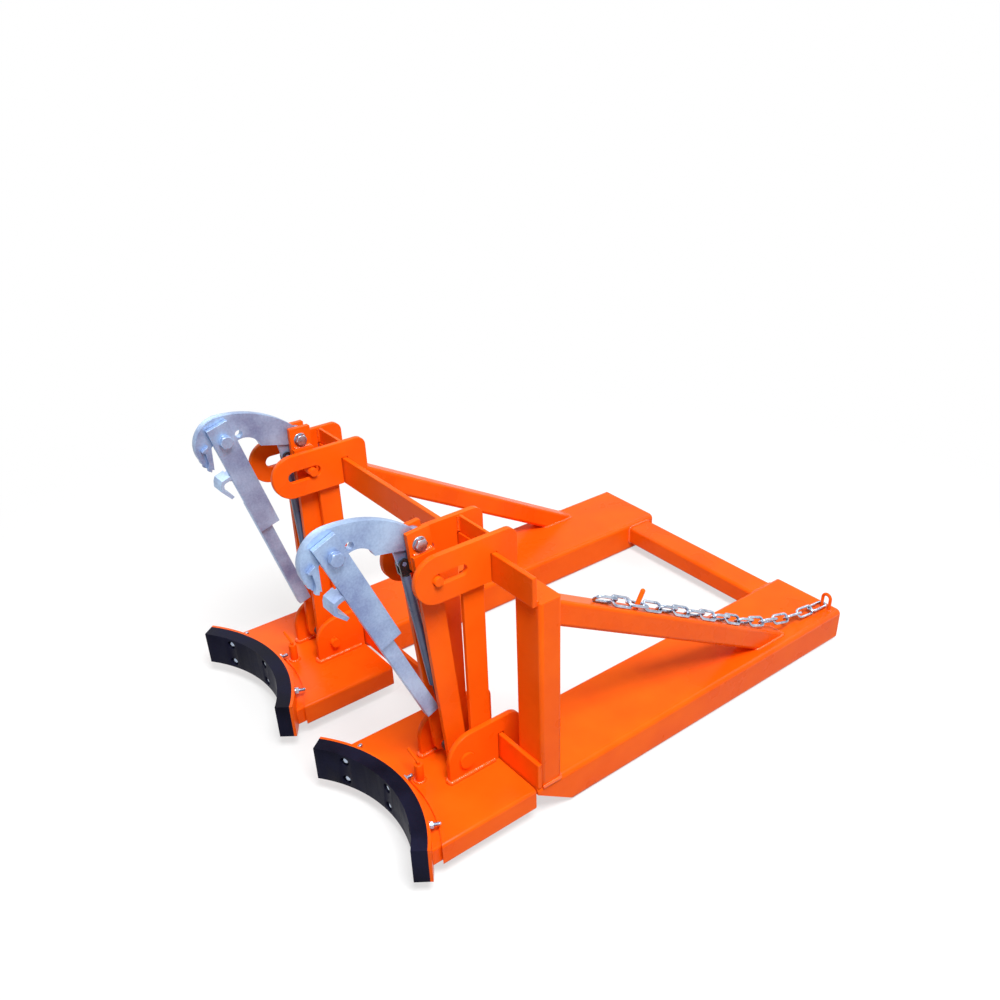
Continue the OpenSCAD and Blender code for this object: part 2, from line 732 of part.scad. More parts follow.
module pivot_pin(side) {
    tail = -head_w / 2 - pivot_tail;
    pin_x = side * (-head_w / 2 - pivot_tail / 2);
    color(orange) on_head(side) translate([0, pivot_y, pivot_z]) difference() {
        rotate([0, 0, side > 0 ? 0 : 180]) {
            rod_x(pivot_d, tail, head_w / 2);
            rod_x(pivot_head_d, head_w / 2, head_w / 2 + pivot_head_t);
        }
        translate([pin_x, 0, -pivot_d]) cylinder(d = split_pin_d + 2 * fit, h = 2 * pivot_d);
    }
    color(zinc) on_head(side) translate([pin_x, pivot_y, pivot_z - split_pin_len / 2])
        cylinder(d = split_pin_d, h = split_pin_len);
}

module lock_boss(side) {
    color(orange) on_head(side) translate([lock_offset, lock_y, saddle_top]) difference() {
        cylinder(d = boss_d, h = boss_h);
        translate([0, 0, -past]) cylinder(d = lock_d + 2 * fit, h = boss_h + 2 * past);
    }
}

module lock_pin(side) {
    foot = slide_top - lock_tip;
    top = saddle_top + boss_h + lock_d / 2 + 1;
    color(zinc) on_head(side) translate([lock_offset, lock_y, 0]) {
        translate([0, 0, foot]) cylinder(d = lock_d, h = top - foot);
        translate([0, 0, top]) sphere(d = lock_d + 1);
        translate([0, 0, top]) rotate([0, lock_handle_rise - 90, 0]) cylinder(d = lock_d, h = lock_handle);
    }
}

// Ring sector about the drum's middle, between two radii
module pad_sector(r0, r1) {
    translate([0, drum_y, pad_z]) rotate([0, 0, 90 - pad_half_angle])
        rotate_extrude(angle = 2 * pad_half_angle, $fn = 128) translate([r0, 0]) square([r1 - r0, pad_h]);
}

// Puts what is drawn along +X from the drum's middle at each pad bolt
module at_pad_bolts() {
    for (a = [-1, 0, 1], z = [-1, 1])
        translate([0, drum_y, pad_mid + z * pad_bolt_rows / 2])
            rotate([0, 0, 90 + a * pad_bolt_step]) children();
}

module rubber_pad(side) {
    color(rubber_black) on_head(side) difference() {
        pad_sector(drum_r, drum_r + pad_t);
        at_pad_bolts() {
            rod_x(pad_bolt_d + 2 * hole_play, drum_r, plate_back_r);
            rod_x(pad_bolt_head_d + 6, drum_r - pad_t, drum_r + pad_bolt_recess);
        }
    }
}

module pad_plate(side) {
    color(orange) on_head(side) difference() {
        pad_sector(drum_r + pad_t, plate_back_r);
        at_pad_bolts() rod_x(pad_bolt_d + 2 * hole_play, drum_r, plate_back_r + pad_t);
    }
}

module pad_bolts(side) {
    seat = drum_r + pad_bolt_recess;
    color(zinc) on_head(side) at_pad_bolts() {
        rod_x(pad_bolt_d, seat, plate_back_r + pad_bolt_end);
        rod_x(pad_bolt_head_d, seat - pad_bolt_head_h, seat);
        translate([plate_back_r + 0.2, 0, 0]) rotate([0, 90, 0])
            cylinder(d = pad_bolt_washer_d / cos(30), h = pad_bolt_nut_h, $fn = 6);
    }
}

module slide_box(side) {
    slot = lock_d + 6;
    color(orange) on_head(side) difference() {
        translate([0, drum_y, saddle_mid])
            tube_y(slide_w, slide_h, saddle_r - saddle_wall + slide_wall / 2, slide_wall,
                slide_rear - drum_y);
        translate([0, drum_y, saddle_lift]) cylinder(r = plate_back_r + 0.1, h = saddle_h, $fn = 128);
        translate([lock_offset - slot / 2, lock_y, saddle_mid]) cube([slot, pad_travel, saddle_h]);
        for (y = [lock_y, lock_y + pad_travel])
            translate([lock_offset, y, saddle_mid]) cylinder(d = slot, h = saddle_h);
    }
}

// Arm, drawn upright from the pivot pin

module arm_bars(side) {
    color(orange) on_head(side) on_arm(arm_lean(side)) plate_pair(arm_in, arm_out) difference() {
        union() {
            circle(d = arm_w);
            translate([-arm_w / 2, 0]) square([arm_w, arm_len]);
        }
        circle(d = pivot_d + 2 * fit);
        translate([0, guide_up]) circle(d = guide_d + 2 * fit);
    }
}

module arm_lugs(side) {
    cut = 1;
    color(orange) on_head(side) on_arm(arm_lean(side)) plate_pair(lug_in, arm_in) difference() {
        polygon([[-lug_w / 2, lug_foot], [lug_w / 2, lug_foot], [lug_w / 2, lug_top - cut],
            [lug_w / 2 - cut, lug_top], [-lug_w / 2 + cut, lug_top], [-lug_w / 2, lug_top - cut]]);
        translate([-beak_bolt_fore, beak_bolt_up]) circle(d = bolt_d + 2 * fit);
        translate([0, guide_up]) circle(d = guide_d + 2 * fit);
    }
}

module guide_pin(side) {
    color(orange) on_head(side) on_arm(arm_lean(side))
        translate([0, 0, guide_up]) rod_x(guide_d, -guide_end, guide_end);
}

module beak_bolt(side) {
    color(zinc) on_head(side) translate(beak_place(arm_lean(side))) hex_bolt_x(bolt_d, -arm_in, arm_in);
}

// Beak, drawn forwards and upwards from the beak bolt

module beak_frame(side) {
    on_head(side) translate(beak_place(arm_lean(side)))
        rotate([beak_tilt(side), 0, 0]) mirror([0, 1, 0]) children();
}

module beak_outline() {
    difference() {
        union() {
            intersection() {
                translate([back_fore, back_up]) circle(beak_back_r, $fn = 128);
                polygon([[-beak_heel_r, -heel_drop], [spring_pin_fore, -tab_drop], [belly_fore - belly_r, 0],
                    [nose_fore, 0], [nose_fore, nose_up + 2 * nose_r], [-beak_heel_r, nose_up + 2 * nose_r]]);
            }
            circle(beak_heel_r);
            translate([nose_fore, nose_up]) circle(nose_r);
            polygon([[nose_fore + nose_r - 1, nose_up],
                [nose_fore + nose_r - tip_cut, nose_up - tip_shoulder],
                [tip_fore, tip_down], [throat_front, tip_down + tip_chamfer], [throat_front, nose_up]]);
        }
        translate([throat_rear, throat_roof - 2 * nose_r]) square([throat_w, 2 * nose_r]);
        translate([slit_fore - slit_r, throat_roof - past])
            square([2 * slit_r, slit_up - throat_roof + past]);
        translate([slit_fore, slit_up]) circle(slit_r);
        translate([notch_fore, notch_up]) circle(notch_r);
        translate([belly_fore, belly_up]) circle(belly_r);
        translate([belly_fore - belly_r, belly_up - 2 * nose_r]) square([2 * belly_r, 2 * nose_r]);
        circle(d = bolt_d + 2 * fit);
        translate([lever_fore, lever_up]) circle(d = lever_bolt_d + 2 * fit);
    }
}

module beak_hook(side) {
    color(galvanised) beak_frame(side) {
        side_plate(beak_t) beak_outline();
        side_plate(2 * tab_half) difference() {
            union() {
                polygon([[spring_pin_fore - 16, -6], [spring_pin_fore + 18, -4],
                    [spring_pin_fore + tab_r, -spring_pin_down],
                    [spring_pin_fore - tab_r, -spring_pin_down]]);
                translate([spring_pin_fore, -spring_pin_down]) circle(tab_r);
            }
            circle(d = bolt_d + 2 * fit);
        }
        translate([0, spring_pin_fore, -spring_pin_down]) rod_x(spring_pin_d, -fork_out, fork_out);
    }
}

module beak_claw(side) {
    inner = throat_front + claw_ahead;
    color(zinc) beak_frame(side) plate_pair(beak_half, claw_w / 2) polygon([
        [inner + claw_top, nose_up + claw_top], [inner + claw_reach, nose_up - claw_top],
        [inner + claw_reach - 1, nose_up - claw_brow + 2], [inner + claw_t + claw_ahead, nose_up - claw_brow],
        [inner + claw_t, nose_up - claw_knee],
        [inner + claw_t + claw_ahead, nose_up - claw_foot + claw_ahead],
        [inner + claw_top, nose_up - claw_foot], [inner, nose_up - claw_knee]]);
}

module lever_bolt(side) {
    color(zinc) on_head(side) translate(lever_place(side))
        hex_bolt_x(lever_bolt_d, -beak_half - lever_side_play, lever_out + lever_side_play);
}

// Lever, drawn upright with its bolt at the middle

module lever_frame(side) {
    on_head(side) translate(lever_place(side)) rotate([lever_lean(side), 0, 0]) children();
}

module lever_plate(side) {
    color(galvanised) lever_frame(side) translate([(lever_in + lever_out) / 2, 0, 0])
        side_plate(lever_t) difference() {
            translate([lever_front, -lever_len]) square([lever_w, lever_head + lever_len]);
            circle(d = lever_bolt_d + 2 * fit);
        }
}

module lever_bar(side) {
    color(galvanised) lever_frame(side) translate([lever_in - lever_bar_t, lever_bar_front, -lever_foot])
        cube([lever_bar_t, lever_bar_w, lever_foot - lever_bar_top]);
}

module lever_jaw(side) {
    lip = lever_front - jaw_lip;
    low = jaw_top + jaw_h;
    color(galvanised) lever_frame(side) {
        side_plate(2 * lever_in) translate([lever_front - 1, -jaw_top - jaw_t])
            square([jaw_root + 1, jaw_t]);
        side_plate(jaw_w) polygon([[lever_front - 0.3, -jaw_top], [lip + 11, -jaw_top - 1],
            [lip + 5, -jaw_top - jaw_t], [lip, -jaw_top - 20], [lip + 12, -low], [lip + 19, -low + 2],
            [lip + jaw_t, -jaw_top - 21], [lip + 11, -jaw_top - 11], [lip + 15, -jaw_top - jaw_t],
            [lever_front - 0.3, -jaw_top - jaw_t]]);
    }
}

// Gas spring, drawn upright from the pivot pin

module spring_frame(side) {
    on_head(side) translate([0, pivot_y, pivot_z]) rotate([spring_lean(side), 0, 0]) children();
}

module spring_rod(side) {
    rod_top = spring_len(side) - fork_r - fork_neck - barrel_len + rod_in_barrel;
    color(spring_black) spring_frame(side) difference() {
        union() {
            rod_x(2 * rod_eye_r, -rod_eye_half, rod_eye_half);
            cylinder(d = barrel_d * 0.8, h = rod_eye_r + rod_socket);
            cylinder(d = rod_d, h = rod_top);
        }
        rod_x(pivot_d + 2 * fit, -rod_eye_r, rod_eye_r);
    }
}

module spring_barrel(side) {
    len = spring_len(side);
    top = len - fork_r - fork_neck;
    color(spring_grey) spring_frame(side) difference() {
        union() {
            translate([0, 0, top - barrel_len]) cylinder(d = barrel_d, h = barrel_len);
            translate([-fork_out, -fork_r, top]) cube([2 * fork_out, 2 * fork_r, fork_r + fork_neck]);
            translate([0, 0, len]) rod_x(2 * fork_r, -fork_out, fork_out);
        }
        translate([0, 0, top - barrel_len - past]) cylinder(d = rod_d + 2 * fit, h = barrel_bore_len + past);
        translate([-fork_in, -2 * fork_r, top + 5]) cube([2 * fork_in, 4 * fork_r, 4 * fork_r]);
        translate([0, 0, len]) rod_x(spring_pin_d + 2 * fork_play, -lug_in, lug_in);
    }
}

fork_sleeve(-1);  // fork_sleeve_left
fork_sleeve(1);  // fork_sleeve_right
rear_cross_tube();
post(-1);  // post_left
post(1);  // post_right
brace(-1);  // brace_left
brace(1);  // brace_right
cross_bar(frame_w / 2 - bar_end_inset, upper_bar_z);  // upper_cross_bar
cross_bar(frame_w / 2, sleeve_h);  // lower_cross_bar
chain_eye();
chain_horn();
safety_chain();
for (hand = [["left", -1], ["right", 1]]) {
    name = hand[0];
    side = hand[1];
    saddle(side);
    bracket_plates(side);
    mast_bars(side);
    head_plates(side);
    head_spacer(side);
    pivot_pin(side);
    lock_boss(side);
    lock_pin(side);
    slide_box(side);
    pad_plate(side);
    rubber_pad(side);
    pad_bolts(side);
    arm_bars(side);
    arm_lugs(side);
    guide_pin(side);
    beak_bolt(side);
    beak_hook(side);
    beak_claw(side);
    lever_plate(side);
    lever_jaw(side);
    lever_bar(side);
    lever_bolt(side);
    spring_barrel(side);
    spring_rod(side);
}
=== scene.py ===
import json
import math

import bpy
from mathutils import Matrix, Vector


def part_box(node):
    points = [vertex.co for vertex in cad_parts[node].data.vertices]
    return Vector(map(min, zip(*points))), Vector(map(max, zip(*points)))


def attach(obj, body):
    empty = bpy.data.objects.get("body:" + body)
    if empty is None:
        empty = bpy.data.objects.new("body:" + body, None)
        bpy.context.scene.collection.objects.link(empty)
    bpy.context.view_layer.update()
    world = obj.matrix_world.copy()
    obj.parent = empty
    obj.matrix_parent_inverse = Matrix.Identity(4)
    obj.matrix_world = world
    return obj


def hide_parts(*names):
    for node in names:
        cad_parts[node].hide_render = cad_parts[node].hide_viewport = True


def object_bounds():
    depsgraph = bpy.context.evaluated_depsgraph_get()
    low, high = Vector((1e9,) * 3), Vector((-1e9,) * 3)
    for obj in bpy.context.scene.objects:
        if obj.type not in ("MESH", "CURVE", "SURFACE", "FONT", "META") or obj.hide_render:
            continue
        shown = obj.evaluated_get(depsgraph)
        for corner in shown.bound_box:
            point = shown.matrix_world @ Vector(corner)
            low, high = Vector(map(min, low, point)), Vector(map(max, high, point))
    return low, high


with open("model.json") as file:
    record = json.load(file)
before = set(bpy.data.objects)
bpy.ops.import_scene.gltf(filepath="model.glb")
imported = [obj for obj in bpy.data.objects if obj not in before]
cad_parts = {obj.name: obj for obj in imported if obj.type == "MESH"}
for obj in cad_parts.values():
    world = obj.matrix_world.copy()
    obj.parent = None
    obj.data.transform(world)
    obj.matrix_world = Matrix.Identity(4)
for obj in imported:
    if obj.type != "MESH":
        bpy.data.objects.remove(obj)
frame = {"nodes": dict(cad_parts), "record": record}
cad_low, cad_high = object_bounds()

# Viewpoint
# A standing look from the front right, a little over the part, with the lens of an ordinary
# camera. The frame is cropped off the lens axis, so a small shift goes with it.
VIEW_AZIMUTH = math.radians(49.51)
VIEW_ELEVATION = math.radians(31.90)
VIEW_ROLL = math.radians(0.13)
VIEW_DISTANCE = 2.3013
VIEW_TARGET = Vector((0.0455, 0.0754, 0.2173))
LENS_MM = 35.297
SENSOR_MM = 36.0
FRAME_SHIFT = (-0.0612, 0.0807)
VIEW_DEPTH = 200.0

to_camera = Vector((
    math.sin(VIEW_AZIMUTH) * math.cos(VIEW_ELEVATION),
    -math.cos(VIEW_AZIMUTH) * math.cos(VIEW_ELEVATION),
    math.sin(VIEW_ELEVATION),
))
camera_data = bpy.data.cameras.new("viewpoint")
camera_data.lens = LENS_MM
camera_data.sensor_width = SENSOR_MM
camera_data.shift_x = FRAME_SHIFT[0]
camera_data.shift_y = FRAME_SHIFT[1]
camera_data.clip_end = VIEW_DEPTH
camera = bpy.data.objects.new("viewpoint", camera_data)
bpy.context.scene.collection.objects.link(camera)
camera.rotation_mode = "QUATERNION"
camera.location = VIEW_TARGET + to_camera * VIEW_DISTANCE
level_view = (-to_camera).to_track_quat("-Z", "Y").to_matrix()
camera.rotation_quaternion = (level_view @ Matrix.Rotation(VIEW_ROLL, 3, "Z")).to_quaternion()
bpy.context.scene.camera = camera

# Studio floor and light
# A white paper floor that runs out of sight, with one large soft lamp high on the right, weaker
# ones from the left and from behind, and an even white room around them.
ROOM_LIGHT = 0.26
FLOOR_SIZE = 120.0
FLOOR_DROP = 0.0004
FLOOR_ROUGHNESS = 0.9
FLOOR_SPECULAR = 0.1
FLOOR_TONE_BOUNCED = 0.42
FLOOR_TONE_SEEN = 0.92
FLOOR_GLOW_NEAR = 0.62
FLOOR_GLOW_FAR = 1.0
SHADE_REACH = (0.9, 1.9)
# Each lamp has a name, a place, a size and a power in watts.
LAMPS = (
    ("key_lamp", (2.3, -0.9, 4.3), 1.6, 262.0),
    ("left_lamp", (-3.2, -0.4, 2.2), 2.4, 34.0),
    ("back_lamp", (0.8, 3.4, 3.0), 2.4, 48.0),
)

view_settings = bpy.context.scene.view_settings
view_settings.view_transform = "Standard"


def white_to_camera(nodes, links):
    """One where a ray comes from the camera, a mirror or a window, and zero for plain light."""
    path = nodes.new("ShaderNodeLightPath")
    seen = nodes.new("ShaderNodeMath")
    seen.operation = "MAXIMUM"
    links.new(path.outputs["Is Camera Ray"], seen.inputs[0])
    links.new(path.outputs["Is Glossy Ray"], seen.inputs[1])
    through = nodes.new("ShaderNodeMath")
    through.operation = "MAXIMUM"
    links.new(seen.outputs[0], through.inputs[0])
    links.new(path.outputs["Is Transmission Ray"], through.inputs[1])
    return through.outputs[0]


room = bpy.data.worlds.new("white_room")
room.use_nodes = True
bpy.context.scene.world = room
room_nodes = room.node_tree.nodes
room_links = room.node_tree.links
room_level = room_nodes.new("ShaderNodeMapRange")
room_level.inputs["To Min"].default_value = ROOM_LIGHT
room_level.inputs["To Max"].default_value = 1.0
room_links.new(white_to_camera(room_nodes, room_links), room_level.inputs["Value"])
room_links.new(room_level.outputs["Result"], room_nodes["Background"].inputs["Strength"])
room_nodes["Background"].inputs["Color"].default_value = (1.0, 1.0, 1.0, 1.0)

for lamp_name, lamp_place, lamp_size, lamp_power in LAMPS:
    lamp_data = bpy.data.lights.new(lamp_name, "AREA")
    lamp_data.size = lamp_size
    lamp_data.energy = lamp_power
    lamp = bpy.data.objects.new(lamp_name, lamp_data)
    lamp.location = lamp_place
    lamp.rotation_mode = "QUATERNION"
    lamp.rotation_quaternion = (VIEW_TARGET - Vector(lamp_place)).to_track_quat("-Z", "Y")
    bpy.context.scene.collection.objects.link(lamp)

floor_mesh = bpy.data.meshes.new("paper_floor")
half = FLOOR_SIZE / 2
floor_mesh.from_pydata(
    [(-half, -half, 0.0), (half, -half, 0.0), (half, half, 0.0), (-half, half, 0.0)],
    [],
    [(0, 1, 2, 3)],
)
floor = bpy.data.objects.new("paper_floor", floor_mesh)
floor.location.z = cad_low.z - FLOOR_DROP
bpy.context.scene.collection.objects.link(floor)

paper = bpy.data.materials.new("white_paper")
paper.use_nodes = True
paper_nodes = paper.node_tree.nodes
paper_links = paper.node_tree.links
paper_shader = paper_nodes["Principled BSDF"]
paper_shader.inputs["Roughness"].default_value = FLOOR_ROUGHNESS
paper_shader.inputs["Specular IOR Level"].default_value = FLOOR_SPECULAR
paper_seen = white_to_camera(paper_nodes, paper_links)
paper_tone = paper_nodes.new("ShaderNodeMapRange")
paper_tone.inputs["To Min"].default_value = FLOOR_TONE_BOUNCED
paper_tone.inputs["To Max"].default_value = FLOOR_TONE_SEEN
paper_links.new(paper_seen, paper_tone.inputs["Value"])
paper_links.new(paper_tone.outputs["Result"], paper_shader.inputs["Base Color"])
glow = paper_nodes.new("ShaderNodeEmission")
place_on_floor = paper_nodes.new("ShaderNodeTexCoord")
from_middle = paper_nodes.new("ShaderNodeVectorMath")
from_middle.operation = "LENGTH"
paper_links.new(place_on_floor.outputs["Object"], from_middle.inputs[0])
glow_share = paper_nodes.new("ShaderNodeMapRange")
glow_share.interpolation_type = "SMOOTHSTEP"
glow_share.inputs["From Min"].default_value = SHADE_REACH[0]
glow_share.inputs["From Max"].default_value = SHADE_REACH[1]
glow_share.inputs["To Min"].default_value = FLOOR_GLOW_NEAR
glow_share.inputs["To Max"].default_value = FLOOR_GLOW_FAR
paper_links.new(from_middle.outputs["Value"], glow_share.inputs["Value"])
glow_seen = paper_nodes.new("ShaderNodeMath")
glow_seen.operation = "MULTIPLY"
paper_links.new(glow_share.outputs["Result"], glow_seen.inputs[0])
paper_links.new(paper_seen, glow_seen.inputs[1])
paper_mix = paper_nodes.new("ShaderNodeMixShader")
paper_links.new(glow_seen.outputs[0], paper_mix.inputs["Fac"])
paper_links.new(paper_shader.outputs["BSDF"], paper_mix.inputs[1])
paper_links.new(glow.outputs["Emission"], paper_mix.inputs[2])
paper_links.new(paper_mix.outputs["Shader"], paper_nodes["Material Output"].inputs["Surface"])
floor_mesh.materials.append(paper)

# Fork frame
# Two fork sleeves of folded plate, a rear cross tube, two posts, two sloping braces and two flat
# cross bars, all mild steel, cut square and welded together, then sprayed with orange enamel.
PAINT_DEEP = (0.87, 0.094, 0.002, 1.0)
PAINT_PALE = (0.95, 0.128, 0.004, 1.0)
FORK_SLEEVES = ("fork_sleeve_left", "fork_sleeve_right")
FRAME_TUBES = ("rear_cross_tube", "post_left", "post_right", "brace_left", "brace_right")
FRAME_BARS = ("upper_cross_bar", "lower_cross_bar")
SLEEVE_EDGE = 0.0040
TUBE_EDGE = 0.0012
BAR_EDGE = 0.0018


def mottled_coat():
    """Slow patches of tone and gloss with a fine grain, for any coat that was sprayed or dipped, and for
    the rubber, whose pale patches are partly painted sheen.
    """
    group = bpy.data.node_groups.new("mottled_coat", "ShaderNodeTree")
    face = group.interface
    for label, kind, value in (
        ("Deep Colour", "NodeSocketColor", (0.5, 0.5, 0.5, 1.0)),
        ("Pale Colour", "NodeSocketColor", (0.6, 0.6, 0.6, 1.0)),
        ("Patch Scale", "NodeSocketFloat", 8.0),
        ("Grain Scale", "NodeSocketFloat", 400.0),
        ("Speckle", "NodeSocketFloat", 0.0),
        ("Low Roughness", "NodeSocketFloat", 0.3),
        ("High Roughness", "NodeSocketFloat", 0.4),
    ):
        socket = face.new_socket(label, in_out="INPUT", socket_type=kind)
        socket.default_value = value
    face.new_socket("Colour", in_out="OUTPUT", socket_type="NodeSocketColor")
    face.new_socket("Roughness", in_out="OUTPUT", socket_type="NodeSocketFloat")
    face.new_socket("Height", in_out="OUTPUT", socket_type="NodeSocketFloat")
    nodes = group.nodes
    links = group.links
    given = nodes.new("NodeGroupInput")
    result = nodes.new("NodeGroupOutput")
    place = nodes.new("ShaderNodeTexCoord")
    patches = nodes.new("ShaderNodeTexNoise")
    patches.inputs["Detail"].default_value = 4.0
    grain = nodes.new("ShaderNodeTexNoise")
    grain.inputs["Detail"].default_value = 2.0
    for noise, scale in ((patches, "Patch Scale"), (grain, "Grain Scale")):
        links.new(place.outputs["Object"], noise.inputs["Vector"])
        links.new(given.outputs[scale], noise.inputs["Scale"])
    spread = nodes.new("ShaderNodeMapRange")
    spread.inputs["From Min"].default_value = 0.32
    spread.inputs["From Max"].default_value = 0.68
    links.new(patches.outputs["Fac"], spread.inputs["Value"])
    speckle = nodes.new("ShaderNodeMath")
    speckle.operation = "MULTIPLY_ADD"
    links.new(grain.outputs["Fac"], speckle.inputs[0])
    links.new(given.outputs["Speckle"], speckle.inputs[1])
    links.new(spread.outputs["Result"], speckle.inputs[2])
    level = nodes.new("ShaderNodeMath")
    level.operation = "MULTIPLY_ADD"
    level.use_clamp = True
    links.new(given.outputs["Speckle"], level.inputs[0])
    level.inputs[1].default_value = -0.5
    links.new(speckle.outputs[0], level.inputs[2])
    tone = nodes.new("ShaderNodeMix")
    tone.data_type = "RGBA"
    links.new(level.outputs[0], tone.inputs["Factor"])
    links.new(given.outputs["Deep Colour"], tone.inputs["A"])
    links.new(given.outputs["Pale Colour"], tone.inputs["B"])
    gloss = nodes.new("ShaderNodeMapRange")
    links.new(spread.outputs["Result"], gloss.inputs["Value"])
    links.new(given.outputs["Low Roughness"], gloss.inputs["To Min"])
    links.new(given.outputs["High Roughness"], gloss.inputs["To Max"])
    links.new(tone.outputs["Result"], result.inputs["Colour"])
    links.new(gloss.outputs["Result"], result.inputs["Roughness"])
    links.new(grain.outputs["Fac"], result.inputs["Height"])
    return group


coat_group = mottled_coat()


def coated_material(name, deep, pale, patch, grain, roughness, bump, constants, speckle=0.0):
    """A material on the mottled coat, with its plain values set on the shader's own sockets."""
    material = bpy.data.materials.new(name)
    material.use_nodes = True
    nodes = material.node_tree.nodes
    links = material.node_tree.links
    shader = nodes["Principled BSDF"]
    for socket, value in constants.items():
        shader.inputs[socket].default_value = value
    coat = nodes.new("ShaderNodeGroup")
    coat.name = "coat"
    coat.node_tree = coat_group
    coat.inputs["Deep Colour"].default_value = deep
    coat.inputs["Pale Colour"].default_value = pale
    coat.inputs["Patch Scale"].default_value = patch
    coat.inputs["Grain Scale"].default_value = grain
    coat.inputs["Speckle"].default_value = speckle
    coat.inputs["Low Roughness"].default_value = roughness[0]
    coat.inputs["High Roughness"].default_value = roughness[1]
    relief = nodes.new("ShaderNodeBump")
    relief.inputs["Strength"].default_value = bump[0]
    relief.inputs["Distance"].default_value = bump[1]
    links.new(coat.outputs["Height"], relief.inputs["Height"])
    links.new(coat.outputs["Colour"], shader.inputs["Base Color"])
    links.new(coat.outputs["Roughness"], shader.inputs["Roughness"])
    links.new(relief.outputs["Normal"], shader.inputs["Normal"])
    return material


orange_enamel = coated_material(
    "orange_enamel",
    deep=PAINT_DEEP,
    pale=PAINT_PALE,
    patch=7.0,
    grain=260.0,
    roughness=(0.24, 0.36),
    bump=(0.22, 0.0006),
    constants={"Specular IOR Level": 0.09},
)


def finish_nodes(names, material, edge=0.0):
    """Gives CAD nodes their finish, and breaks their sharp edges as a grinder and the coat do."""
    for name in names:
        node = frame["nodes"][name]
        for material_slot in node.material_slots:
            material_slot.material = material
        if edge:
            joined = node.modifiers.new("joined_faces", "WELD")
            joined.merge_threshold = 0.00001
            plain = node.modifiers.new("plain_faces", "DECIMATE")
            plain.decimate_type = "DISSOLVE"
            plain.angle_limit = math.radians(1.0)
            broken = node.modifiers.new("broken_edges", "BEVEL")
            broken.width = edge
            broken.segments = 2
            broken.limit_method = "ANGLE"
            broken.angle_limit = math.radians(38.0)
            broken.harden_normals = True


finish_nodes(FORK_SLEEVES, orange_enamel, SLEEVE_EDGE)
finish_nodes(FRAME_TUBES, orange_enamel, TUBE_EDGE)
finish_nodes(FRAME_BARS, orange_enamel, BAR_EDGE)

# Frame welds
# Where tubes, bars and sleeves meet, a hand-laid bead runs along the corner with its fine ripples,
# under the same enamel as the plates. One tree lays every bead of the part along its path.
SIDES = ("left", "right")
FRAME_BEAD = 0.0042
FRAME_BEAD_SEED = 3
BRACE_SLOPE = math.radians(29.0)
BRACE_SIDE = 0.050
TUBE_CORNER = 0.008
POST_FOOT_END = 0.002
POST_TOP_ENDS = (0.004, 0.008)
BRACE_TOP_END = 0.006
BRACE_HEEL_END = 0.004
ARC_STEPS = 5
RING_STEPS = 20
bead_enamel = coated_material(
    "bead_enamel",
    deep=PAINT_DEEP,
    pale=PAINT_PALE,
    patch=40.0,
    grain=420.0,
    roughness=(0.14, 0.26),
    bump=(0.5, 0.0010),
    constants={"Specular IOR Level": 0.55},
    speckle=0.6,
)


